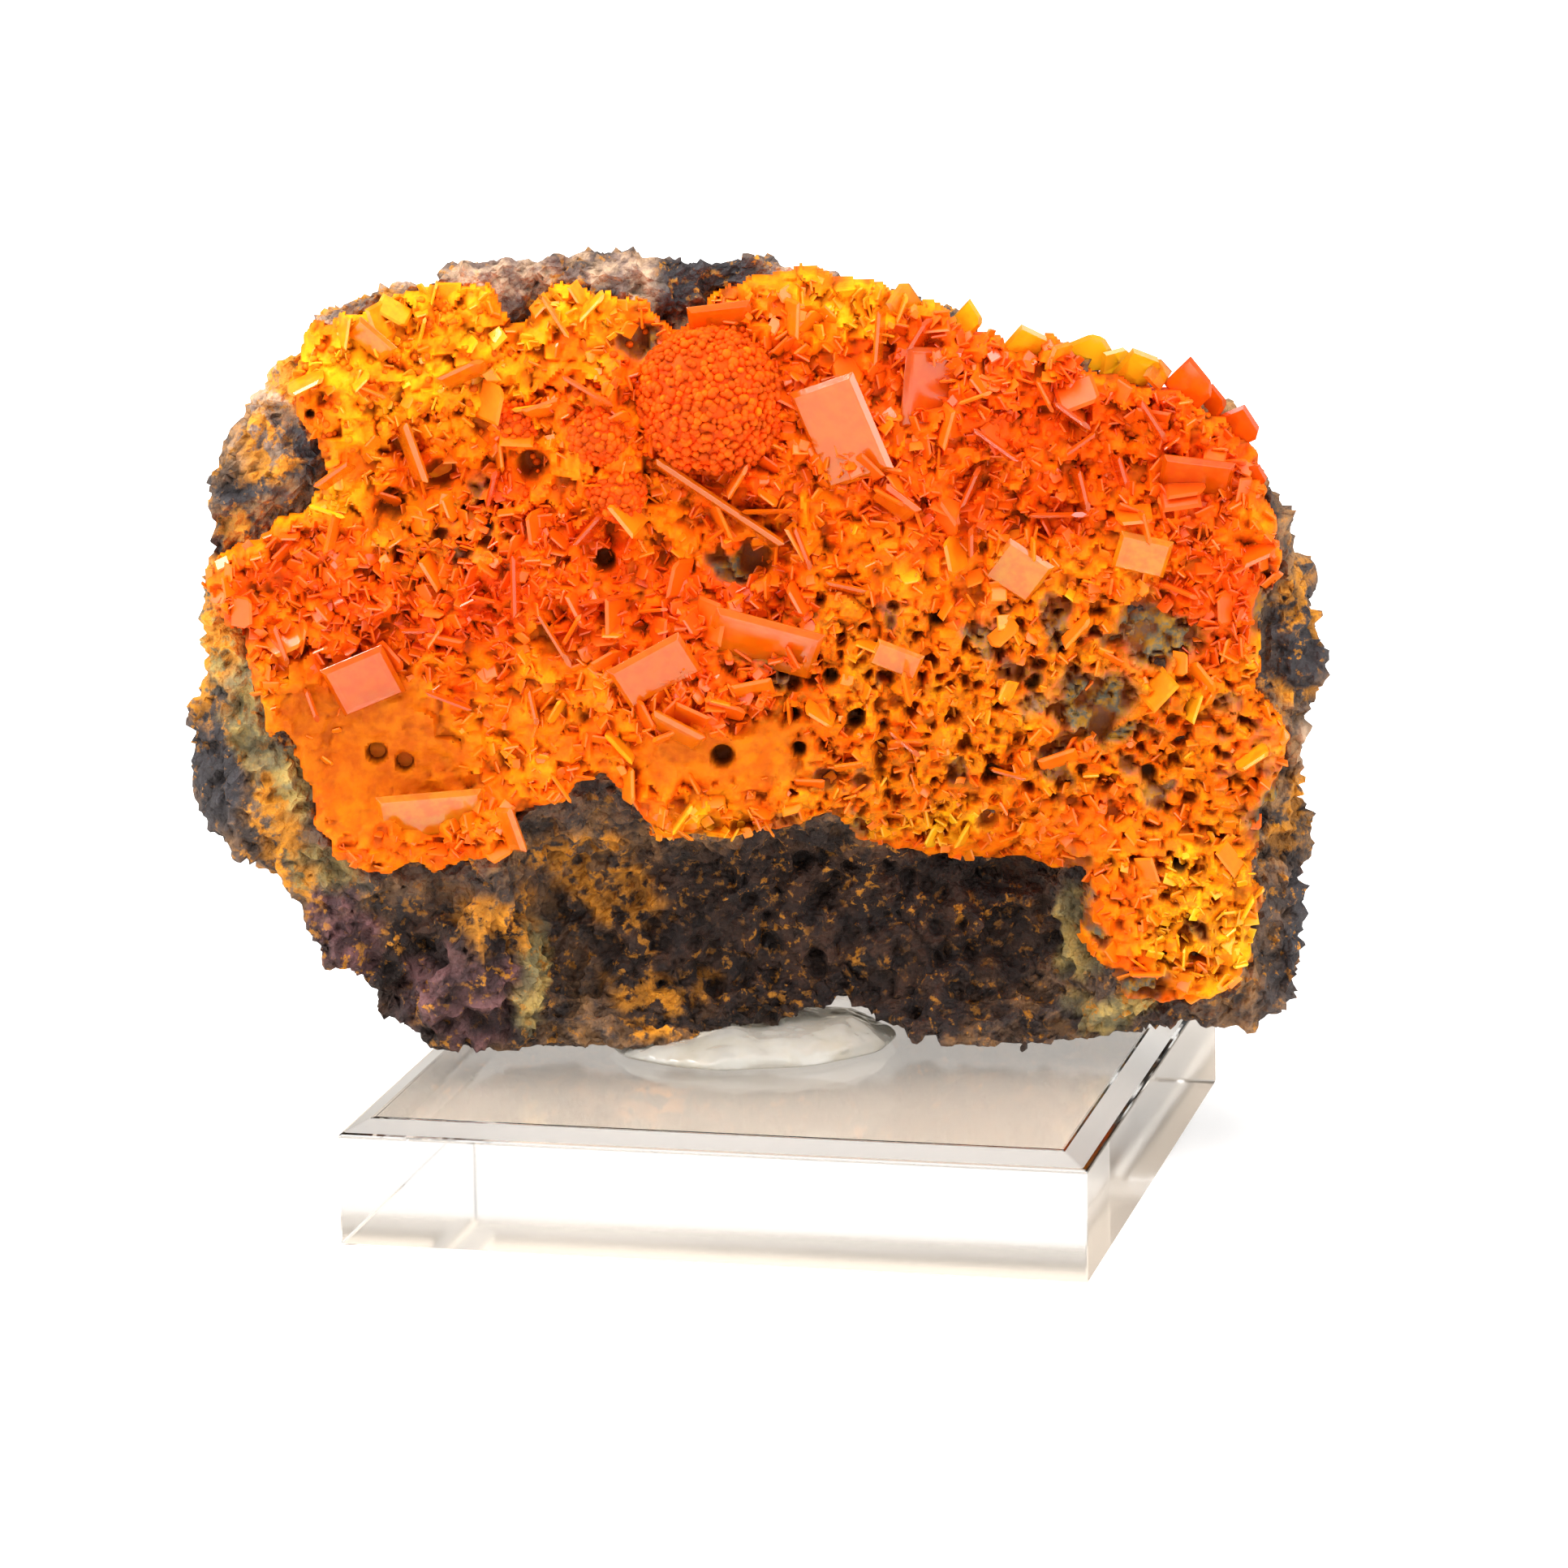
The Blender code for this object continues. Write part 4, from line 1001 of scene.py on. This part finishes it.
deselect_all()
bpy.ops.mesh.primitive_grid_add(x_subdivisions=cells_u, y_subdivisions=cells_z, size=2.0)
crust = bpy.context.object
crust.name = "mimetite_crust"
flat = read_rows(crust.data.vertices, "co")
index_u = np.rint((flat[:, 0] + 1.0) / 2.0 * cells_u).astype(int)
index_z = np.rint((flat[:, 1] + 1.0) / 2.0 * cells_z).astype(int)
at = (index_u, index_z)
write_points(crust.data, np.stack([grid_u[at], crust_front[at], grid_z[at]], 1))
CRUST_MASKS = {"hue": hue, "hollow": cavity, "bare": bare, "pit": pits, "amber": amber, "sponge": sponge}
for name, mask in CRUST_MASKS.items():
    write_mask(crust.data, name, mask[at])
outside = inward[at] < 0.0
bpy.ops.object.mode_set(mode="EDIT")
bpy.ops.mesh.select_mode(type="VERT")
bpy.ops.mesh.select_all(action="DESELECT")
bpy.ops.object.mode_set(mode="OBJECT")
crust.data.vertices.foreach_set("select", outside)
bpy.ops.object.mode_set(mode="EDIT")
bpy.ops.mesh.delete(type="VERT")
bpy.ops.mesh.select_all(action="SELECT")
bpy.ops.mesh.flip_normals()
bpy.ops.mesh.select_mode(type="EDGE")
bpy.ops.mesh.select_all(action="SELECT")
bpy.ops.mesh.region_to_loop()
bpy.ops.mesh.extrude_region_move()
bpy.ops.object.mode_set(mode="OBJECT")
points = read_points(crust.data)
rim = np.zeros(len(points), bool)
crust.data.vertices.foreach_get("select", rim)
points[rim, 1] = at_grid(rock_front, points[rim, 0], points[rim, 2]) + CRUST_ROOT
write_points(crust.data, points)
bpy.ops.object.mode_set(mode="EDIT")
bpy.ops.mesh.fill()
edit_all(bpy.ops.mesh.normals_make_consistent, inside=False)
bpy.ops.object.shade_smooth_by_angle(angle=math.radians(50))
print("crust vertices:", len(crust.data.vertices), "rim vertices:", int(rim.sum()))

# %% [markdown]
# Mimetite is waxy, and its colour here runs from deep orange-red to yellow. One mask gives that
# tone, and others lay the amber skin, the worn sponge, bare rock, and painted shade in the hollows
# and pits over it. The gloss is kept low, because a skin of small grains scatters the light.

# %% Crust: finish
CRUST_TONES = [
    (0.0, (0.84, 0.065, 0.001)),
    (0.3, (0.90, 0.110, 0.001)),
    (0.6, (0.96, 0.200, 0.002)),
    (1.0, (1.0, 0.42, 0.005)),
]
material, tree, shader = new_material("mimetite crust", Roughness=0.5, Specular_IOR_Level=0.08)
speckle = add_mottle(tree, 520.0, 0.35, 0.65)
broken = add_mottle(tree, 1100.0, 0.40, 0.62)
shade = multiply(tree, speckle.outputs["Mask"], 0.24)
colour = colour_ramp(tree, link_maths(tree, "ADD", shade, "hue"), CRUST_TONES)
amber_tone = blend_colours(tree, speckle.outputs["Mask"], (0.50, 0.085, 0.001), (0.62, 0.140, 0.0015))
colour = blend_colours(tree, "amber", colour, amber_tone)
worn = multiply(tree, "sponge", broken.outputs["Mask"])
worn = multiply(tree, worn, 0.75)
colour = blend_colours(tree, worn, colour, (0.38, 0.12, 0.006))
rock_tone = blend_colours(tree, broken.outputs["Mask"], (0.120, 0.118, 0.085), (0.34, 0.17, 0.02))
colour = blend_colours(tree, "bare", colour, rock_tone)
# Painted shade: the hollows are darkened towards a deep red-brown.
shade_and_speckle = multiply(tree, "hollow", 0.85)
colour = blend_colours(tree, shade_and_speckle, colour, (0.25, 0.045, 0.003))
# Painted shade: the named pits are darkened nearly to black.
colour = blend_colours(tree, "pit", colour, (0.05, 0.016, 0.003))
tree.links.new(colour, shader.inputs["Base Color"])
grain = add_grain(tree, 1700.0)
add_bump(tree, shader, grain.outputs["Height"], 0.0002, 0.5)
finish_piece(crust, material, "mimetite", "crystal_crust")

# %% [markdown]
# Wulfenite grows as thin square tablets whose rim slopes to an edge all round. Thousands of them
# stand in the crust, most smaller than a grain of rice. One tablet is modelled by extruding a plane
# up and down and scaling each end in, two more have broken corners, and the copies are joined into
# one mesh, because each copy has only twenty faces or so.

# %% Wulfenite tablet patterns
PATTERN_TAPER = 0.84


def take_pattern(obj):
    """Removes an object and gives back its corners and faces, to be copied many times."""
    corners = np.array([v.co for v in obj.data.vertices])
    faces = [tuple(p.vertices) for p in obj.data.polygons]
    bpy.data.objects.remove(obj)
    return corners, faces


def new_tablet_pattern(corner_cuts):
    """A unit tablet: length along X, flat faces along Y, height along Z, with corners cut off."""
    deselect_all()
    bpy.ops.mesh.primitive_plane_add(size=1.0, rotation=(math.radians(90.0), 0.0, 0.0))
    tablet = bpy.context.object
    bpy.ops.object.transform_apply()
    bpy.ops.object.mode_set(mode="EDIT")
    for side in (-1.0, 1.0):
        select_faces(tablet, lambda middle, normal: abs(middle.y) < 1e-4 and abs(normal.y) > 0.9)
        bpy.ops.mesh.extrude_region_move(TRANSFORM_OT_translate={"value": (0.0, 0.5 * side, 0.0)})
        bpy.ops.transform.resize(value=(PATTERN_TAPER, 1.0, PATTERN_TAPER))
    for cut_x, cut_z, reach in corner_cuts:
        bpy.ops.mesh.select_all(action="SELECT")
        bpy.ops.mesh.bisect(
            plane_co=(cut_x * reach, 0.0, cut_z * reach),
            plane_no=(cut_x, 0.0, cut_z),
            use_fill=True,
            clear_outer=True,
        )
    edit_all(bpy.ops.mesh.normals_make_consistent, inside=False)
    return take_pattern(tablet)


TABLET_PATTERNS = [
    new_tablet_pattern([]),
    new_tablet_pattern([(1.0, 1.0, 0.36)]),
    new_tablet_pattern([(1.0, 1.0, 0.40), (-1.0, 0.55, 0.44)]),
]
print("tablet faces:", [len(faces) for _, faces in TABLET_PATTERNS])


def join_copies(name, patterns, choice, matrices, middles, masks):
    """One mesh of many copies. Each copy has a pattern, a matrix of its axes, a middle and masks."""
    all_points, all_faces, kept, start = [], [], {key: [] for key in masks}, 0
    for number, (corners, faces) in enumerate(patterns):
        chosen = np.flatnonzero(choice == number)
        placed = np.einsum("nij,kj->nki", matrices[chosen], corners) + middles[chosen][:, None, :]
        all_points.append(placed.reshape(-1, 3))
        for copy_number in range(len(chosen)):
            first = start + copy_number * len(corners)
            all_faces += [tuple(first + k for k in face) for face in faces]
        for key, values in masks.items():
            kept[key].append(np.repeat(values[chosen], len(corners)))
        start += len(chosen) * len(corners)
    mesh = bpy.data.meshes.new(name)
    mesh.from_pydata(to_world(np.concatenate(all_points)), [], all_faces)
    for key, values in kept.items():
        write_mask(mesh, key, np.concatenate(values))
    joined = bpy.data.objects.new(name, mesh)
    bpy.context.scene.collection.objects.link(joined)
    activate(joined)
    edit_all(bpy.ops.mesh.normals_make_consistent, inside=False)
    return joined


# %% [markdown]
# Where each tablet stands follows the zones: crowded and deep orange-red in the upper right and the
# middle, few on the amber skin, small and sparse in the sponge. A tablet's roll turns its length in
# the picture, and its opening says how much of its face is seen, from 0 edge-on to 90 face-on.

# %% Wulfenite tablets: axes
TABLET_STAND, TABLET_SINK = 0.35, 0.22


def tablet_axes(length, thickness, height, roll, opening):
    """The three axes of each tablet, as long as its length, thickness and height."""
    roll, opening = np.radians(roll), np.radians(opening)
    zero = np.zeros_like(roll)
    along = np.stack([np.cos(roll), zero, np.sin(roll)], 1)
    upright = np.stack([-np.sin(roll), zero, np.cos(roll)], 1)
    towards = np.array([0.0, -1.0, 0.0])
    across = upright * np.sin(opening)[:, None] + towards * np.cos(opening)[:, None]
    face = np.cross(across, along)
    return np.stack([along * length[:, None], face * thickness[:, None], across * height[:, None]], 2)


def stand_on_crust(u, z, height, opening):
    """Each tablet's middle, a little out of the crust."""
    rise = TABLET_STAND * height * np.cos(np.radians(opening)) - TABLET_SINK
    return np.stack([u, at_grid(crust_front, u, z) - rise, z], 1)


one_tablet = tablet_axes(*np.array([[2.0], [0.2], [1.5], [30.0], [10.0]]))
print("axes of a tablet 2 mm long:", one_tablet[0].round(2).tolist())

# %% [markdown]
# The small and middle-sized tablets are scattered: places are tried at random, and kept as often as
# the crowding there says. The seed is fixed, so each run grows the same crystals.

# %% Wulfenite tablets: scattered
LEAST_TABLET = 0.12
HEIGHT_SHARE = (0.7, 1.15)
TINT_SHIFT, TINT_SPREAD = 0.09, 0.07
TABLET_COLUMNS = [
    # name, tries, shortest, longest, thickness share, widest opening
    ("small_wulfenite", 4800, 0.6, 1.7, 0.16, 60.0),
    ("medium_wulfenite", 320, 1.9, 4.2, 0.11, 45.0),
]
TABLET_SEED = 20
crowding = np.clip(0.42 + 0.6 * red + 0.2 * yellow - 0.85 * amber - 0.15 * sponge - 0.9 * bare, 0.02, 1.0)
crowding = crowding * (1.0 - 0.5 * mat) * (inward > 0.3) * (1.0 - pits)


def scatter_tablets(name, tries, shortest, longest, share, widest, rng):
    u = rng.uniform(*CRUST_U, tries * 3)
    z = rng.uniform(*CRUST_Z, tries * 3)
    kept = np.flatnonzero(at_grid(crowding, u, z) > rng.uniform(0.0, 1.0, len(u)))[:tries]
    u, z = u[kept], z[kept]
    count = len(u)
    length = shortest + (longest - shortest) * rng.uniform(0.0, 1.0, count) ** 1.6
    height = length * rng.uniform(*HEIGHT_SHARE, count)
    roll = rng.uniform(-90.0, 90.0, count)
    opening = rng.uniform(0.0, widest, count) * rng.choice([-1.0, 1.0], count)
    middles = stand_on_crust(u, z, height, opening)
    tint = np.clip(at_grid(hue, u, z) + rng.normal(TINT_SHIFT, TINT_SPREAD, count), 0.0, 1.0)
    axes = tablet_axes(length, np.maximum(length * share, LEAST_TABLET), height, roll, opening)
    return join_copies(name, TABLET_PATTERNS, rng.integers(0, 3, count), axes, middles, {"tint": tint})


rng = np.random.default_rng(TABLET_SEED)
tablet_pieces = [scatter_tablets(*row, rng) for row in TABLET_COLUMNS]
print("corners:", {piece.name: len(piece.data.vertices) for piece in tablet_pieces})

# %% [markdown]
# The tablets that catch the eye are placed one by one, by where they stand on the real crust.

# %% Wulfenite tablets: standing
LISTED_STAND = 0.55
LISTED_HEIGHT, LISTED_THICKNESS = 3.6, 0.5
LISTED_TABLETS = [
    # u, z, length, roll, opening
    (-19.6, 84.1, 6.0, -32.0, 10.0), (-22.8, 91.4, 5.0, -59.0, 10.0), (-29.2, 74.1, 3.8, 76.0, 10.0),
    (9.6, 89.0, 5.5, 85.0, 12.0), (14.0, 88.8, 3.8, 58.0, 25.0), (-1.6, 71.6, 5.7, 0.0, 10.0),
    (20.8, 78.1, 5.7, -37.0, 12.0), (29.7, 77.9, 3.5, 35.0, 10.0), (29.6, 73.1, 4.5, -77.0, 12.0),
    (27.2, 70.6, 5.9, 0.0, 8.0), (33.6, 74.9, 3.6, -74.0, 10.0), (28.6, 80.6, 4.6, -37.0, 12.0),
    (18.7, 68.3, 3.0, 90.0, 10.0), (-34.2, 52.9, 5.0, -22.0, 8.0), (-48.2, 52.2, 3.6, -72.0, 10.0),
    (-37.0, 59.9, 3.5, 0.0, 8.0), (-51.5, 58.2, 4.6, -72.0, 25.0), (-25.8, 52.3, 3.9, -79.0, 8.0),
    (-23.6, 59.2, 7.0, -60.0, 10.0), (-27.0, 65.2, 6.4, 90.0, 10.0), (-18.1, 63.1, 5.7, 10.0, 8.0),
    (11.5, 47.7, 4.2, -42.0, 8.0), (22.0, 44.0, 3.7, -17.0, 10.0), (5.8, 63.6, 4.2, -14.0, 20.0),
    (-31.9, 85.8, 5.0, 24.0, 30.0), (-45.0, 75.8, 4.2, 35.0, 20.0), (18.8, 73.7, 4.6, 66.0, 14.0),
    (36.6, 79.8, 5.0, -58.0, 16.0), (1.4, 67.7, 4.8, -70.0, 14.0), (-19.4, 70.0, 4.6, 48.0, 18.0),
]
listed_u, listed_z, listed_length, listed_roll, listed_opening = np.array(LISTED_TABLETS).T
listed_middles = stand_on_crust(listed_u, listed_z, LISTED_HEIGHT, listed_opening)
listed_middles[:, 1] -= LISTED_STAND
listed_thickness, listed_height = np.full((2, len(listed_u)), [[LISTED_THICKNESS], [LISTED_HEIGHT]])
listed_axes = tablet_axes(listed_length, listed_thickness, listed_height, listed_roll, listed_opening)
listed_choice = rng.integers(0, 2, len(listed_u))
listed_tint = {"tint": at_grid(hue, listed_u, listed_z)}
standing = join_copies(
    "standing_wulfenite", TABLET_PATTERNS, listed_choice, listed_axes, listed_middles, listed_tint
)
print("standing tablets:", len(LISTED_TABLETS))

# %% [markdown]
# A few more stand on the crust's top edge, against the sky. They are upright, but each leans to one
# side, is turned about its own height and tips back a little, so they show as points from the front.

# %% Wulfenite tablets: top edge
RIM_TABLETS = [
    # u, z, side, lean to the right, turn about its height, tint
    (23.9, 86.5, 4.2, 38.0, 20.0, 0.9), (31.2, 85.2, 4.6, -30.0, -15.0, 1.0),
    (35.2, 83.8, 4.2, 36.0, 25.0, 0.95), (40.3, 82.0, 4.4, 42.0, -20.0, 0.3),
    (12.6, 91.0, 3.8, -32.0, 40.0, 0.8), (45.0, 78.0, 4.0, 62.0, 10.0, 0.2),
    (27.4, 86.0, 3.0, 20.0, 50.0, 0.8), (33.2, 84.4, 3.4, 8.0, 35.0, 1.0),
    (43.0, 80.3, 2.8, 30.0, -40.0, 0.3), (18.3, 89.2, 3.0, 40.0, -35.0, 0.9),
    (46.6, 73.5, 2.6, 75.0, 30.0, 0.25), (38.0, 83.4, 2.8, -40.0, 30.0, 0.7),
]
RIM_BACK_TIP = 25.0
RIM_RISE, RIM_BACK = 0.22, 0.6
RIM_THICKNESS = 0.6


def rim_axes(side, thickness, lean, turn):
    """The three axes of each tablet on the crust's top edge, upright but for its lean and back tip."""
    lean, turn, tip = np.radians(lean), np.radians(turn), math.radians(RIM_BACK_TIP)
    zero, one = np.zeros_like(lean), np.ones_like(lean)
    cos, sin = np.cos(lean), np.sin(lean)
    lean_right = np.array([[cos, zero, sin], [zero, one, zero], [-sin, zero, cos]])
    tip_back = np.array([[1, 0, 0], [0, math.cos(tip), -math.sin(tip)], [0, math.sin(tip), math.cos(tip)]])
    cos, sin = np.cos(turn), np.sin(turn)
    turned = np.array([[cos, -sin, zero], [sin, cos, zero], [zero, zero, one]])
    frame_axes = np.einsum("ijn,jk,kln->nil", lean_right, tip_back, turned)
    sizes = np.stack([side, thickness, side], 1)
    return frame_axes * sizes[:, None, :], frame_axes[:, :, 2]


rim_u, rim_z, rim_side, rim_lean, rim_turn, rim_tint = np.array(RIM_TABLETS).T
rim_thickness = np.full(len(rim_u), RIM_THICKNESS)
rim_matrices, rim_up = rim_axes(rim_side, rim_thickness, rim_lean, rim_turn)
rim_middles = np.stack([rim_u, at_grid(crust_front, rim_u, rim_z) + RIM_BACK, rim_z], 1)
rim_middles += rim_up * (RIM_RISE * rim_side)[:, None]
rim_choice = rng.integers(0, 2, len(rim_u))
rim_crystals = join_copies(
    "rim_wulfenite", TABLET_PATTERNS, rim_choice, rim_matrices, rim_middles, {"tint": rim_tint}
)
print("tablets on the top edge:", len(RIM_TABLETS))

# %% [markdown]
# Wulfenite is a clear orange-red crystal with a bright lustre. The small tablets in the crust look
# nearly solid, so theirs is the duller of two finishes. Larger ones let the light in, and a volume
# that absorbs green and blue deepens their colour with thickness, which a surface alone can't do.

# %% Wulfenite finish
WULFENITE_IOR = 2.3
TABLET_TONES = [
    (0.0, (0.88, 0.075, 0.001)),
    (0.35, (0.94, 0.12, 0.001)),
    (0.7, (1.0, 0.24, 0.003)),
    (1.0, (1.0, 0.56, 0.010)),
]


def wulfenite_finish(name, roughness, transmission, gloss, density):
    """Orange-red crystal. The density says how strongly it takes the light, per metre."""
    material, tree, shader = new_material(
        name, Roughness=roughness, IOR=WULFENITE_IOR,
        Specular_IOR_Level=gloss, Transmission_Weight=transmission,
    )
    speckle = add_mottle(tree, 700.0, 0.35, 0.65)
    shade = multiply(tree, speckle.outputs["Mask"], 0.12)
    shade = link_maths(tree, "ADD", shade, "tint")
    tree.links.new(colour_ramp(tree, shade, TABLET_TONES), shader.inputs["Base Color"])
    add_bump(tree, shader, speckle.outputs["Fine"], 0.00005, 0.25)
    if density:
        absorb = node(tree, "ShaderNodeVolumeAbsorption", Color=(1.0, 0.30, 0.02, 1.0), Density=density)
        tree.links.new(absorb.outputs[0], tree.nodes["Material Output"].inputs["Volume"])
    return material


grown_in = wulfenite_finish("wulfenite in the crust", 0.28, 0.2, 0.06, 0.0)
wulfenite = wulfenite_finish("wulfenite", 0.1, 0.6, 0.07, 260.0)
for piece in tablet_pieces:
    finish_piece(piece, grown_in, "wulfenite")
for piece in (standing, rim_crystals):
    finish_piece(piece, wulfenite, "wulfenite")

# %% [markdown]
# The largest tablets are crystals of their own, and the frame has a solid for each. Each solid is
# copied, its two flat faces are inset and raised a little as a growth step, and its edges are
# rounded by a hair, so that they catch the light.

# %% Large wulfenite tablets
STEP_WIDTH = 0.55 * MM
STEP_RISE = 0.05 * MM
CRYSTAL_EDGE = 0.06 * MM
LARGE_TINT, LARGE_TINT_MOST = 0.28, 0.72
large_names = sorted(name for name in frame["nodes"] if name.startswith("wulfenite_tablet"))
for name in large_names:
    crystal = merged_copy(name.replace("wulfenite_tablet", "large_wulfenite"), frame["nodes"][name])
    bpy.ops.object.mode_set(mode="EDIT")
    bpy.ops.mesh.select_all(action="SELECT")
    bpy.ops.mesh.dissolve_limited(angle_limit=math.radians(2.0))
    mesh = bmesh.from_edit_mesh(crystal.data)
    areas = sorted(face.calc_area() for face in mesh.faces)
    bpy.ops.mesh.select_all(action="DESELECT")
    for face in mesh.faces:
        face.select_set(face.calc_area() >= areas[-2] - 1e-9)
    bmesh.update_edit_mesh(crystal.data)
    bpy.ops.mesh.inset(thickness=STEP_WIDTH, depth=STEP_RISE, use_individual=True)
    bpy.ops.object.mode_set(mode="OBJECT")
    apply_modifier(
        crystal, "BEVEL", width=CRYSTAL_EDGE, segments=2, limit_method="ANGLE", angle_limit=math.radians(15)
    )
    points = read_points(crystal.data)
    middle = points.mean(0)
    tint = LARGE_TINT + at_grid(hue, middle[0], middle[2]) + 0.08 * smooth_noise(points, 2.0, 7)
    write_mask(crystal.data, "tint", np.clip(tint, 0.0, LARGE_TINT_MOST))
    finish_piece(crystal, wulfenite, "wulfenite", name)

# %% [markdown]
# Mimetite grows in round beads like a raspberry. The big ball in the upper middle and the small
# ones beside it are a core sphere each, set a little into the crust, with hundreds of small beads
# on the side that is seen. More beads lie on the granular mat.

# %% Mimetite balls and beads
BALL_SINK = 0.15
BALL_DETAIL = {True: 5, False: 4}
BEAD_RADIUS = (0.28, 0.52)
BEAD_SPACING = 0.74
MAT_BEADS = 900
CORE_SHARE, BEAD_SEAT = 0.94, 0.96


def ball_swell(points):
    """How far a ball is from round at points on it, as a factor near 1."""
    return 1.0 + 0.07 * smooth_noise(points, 4.0, 201, 2)


def bead_pattern():
    deselect_all()
    bpy.ops.mesh.primitive_ico_sphere_add(subdivisions=2, radius=1.0)
    bead = bpy.context.object
    edit_all(bpy.ops.transform.vertex_random, offset=0.12, seed=4)
    return take_pattern(bead)


BEAD_PATTERN = bead_pattern()
middles, sizes, tints, cores = [], [], [], []
soft_front = blur(crust_front, 6.0)
for at_u, at_z, radius in MIMETITE_BALLS:
    cell = round((at_u - CRUST_U[0]) / CRUST_CELL), round((at_z - CRUST_Z[0]) / CRUST_CELL)
    front = float(soft_front[cell])
    centre = np.array([at_u, front + BALL_SINK * radius, at_z])
    deselect_all()
    bpy.ops.mesh.primitive_ico_sphere_add(subdivisions=BALL_DETAIL[radius > 5.0], radius=1.0)
    core = bpy.context.object
    flat = np.array([v.co for v in core.data.vertices])
    write_points(core.data, centre + flat * (CORE_SHARE * radius * ball_swell(flat * radius))[:, None])
    cores.append(core)
    count = int(4.0 * math.pi * radius**2 / BEAD_SPACING**2)
    order = np.arange(count) + 0.5
    tilt = np.arccos(1.0 - 2.0 * order / count)
    turn = math.pi * (1.0 + 5.0**0.5) * order
    ray = np.stack([np.cos(turn) * np.sin(tilt), np.cos(tilt), np.sin(turn) * np.sin(tilt)], 1)
    ray += rng.normal(0.0, 0.32 * BEAD_SPACING / radius, ray.shape)
    ray /= np.linalg.norm(ray, axis=1)[:, None]
    ray = ray[ray[:, 1] < 0.25]
    middles.append(centre + ray * (BEAD_SEAT * radius * ball_swell(ray * radius))[:, None])
    sizes.append(rng.uniform(*BEAD_RADIUS, len(ray)))
    tints.append(np.clip(0.14 + 0.12 * rng.normal(size=len(ray)), 0.0, 1.0))
bead_u, bead_z = rng.uniform(*CRUST_U, MAT_BEADS * 12), rng.uniform(*CRUST_Z, MAT_BEADS * 12)
share = at_grid(mat * (inward > 0.8) * (0.3 + 0.7 * cavity), bead_u, bead_z)
kept = np.flatnonzero(share > rng.uniform(0.0, 1.0, len(bead_u)))[:MAT_BEADS]
bead_u, bead_z = bead_u[kept], bead_z[kept]
middles.append(np.stack([bead_u, at_grid(crust_front, bead_u, bead_z) - 0.1, bead_z], 1))
sizes.append(rng.uniform(*BEAD_RADIUS, len(kept)) * 0.85)
tints.append(at_grid(hue, bead_u, bead_z))
middles, sizes, tints = np.concatenate(middles), np.concatenate(sizes), np.concatenate(tints)
matrices = np.eye(3)[None] * sizes[:, None, None] * rng.uniform(0.8, 1.2, (len(sizes), 1, 3))
beads = join_copies(
    "mimetite_beads", [BEAD_PATTERN], np.zeros(len(sizes), int), matrices, middles, {"tint": tints}
)
activate(cores[0])
for core in cores:
    core.select_set(True)
bpy.ops.object.join()
balls = bpy.context.object
balls.name = "mimetite_balls"
write_mask(balls.data, "tint", np.full(len(balls.data.vertices), 0.02))

material, tree, shader = new_material("mimetite beads", Roughness=0.5, Specular_IOR_Level=0.1)
speckle = add_mottle(tree, 600.0, 0.35, 0.65)
colour = colour_ramp(tree, "tint", CRUST_TONES)
# A random darker speckle, the beads' own tone.
shade_and_speckle = multiply(tree, speckle.outputs["Mask"], 0.8)
colour = blend_colours(tree, shade_and_speckle, colour, (0.42, 0.050, 0.001))
tree.links.new(colour, shader.inputs["Base Color"])
add_bump(tree, shader, speckle.outputs["Fine"], 0.0001, 0.5)
for piece in (beads, balls):
    activate(piece)
    bpy.ops.object.shade_smooth()
    finish_piece(piece, material, "mimetite")
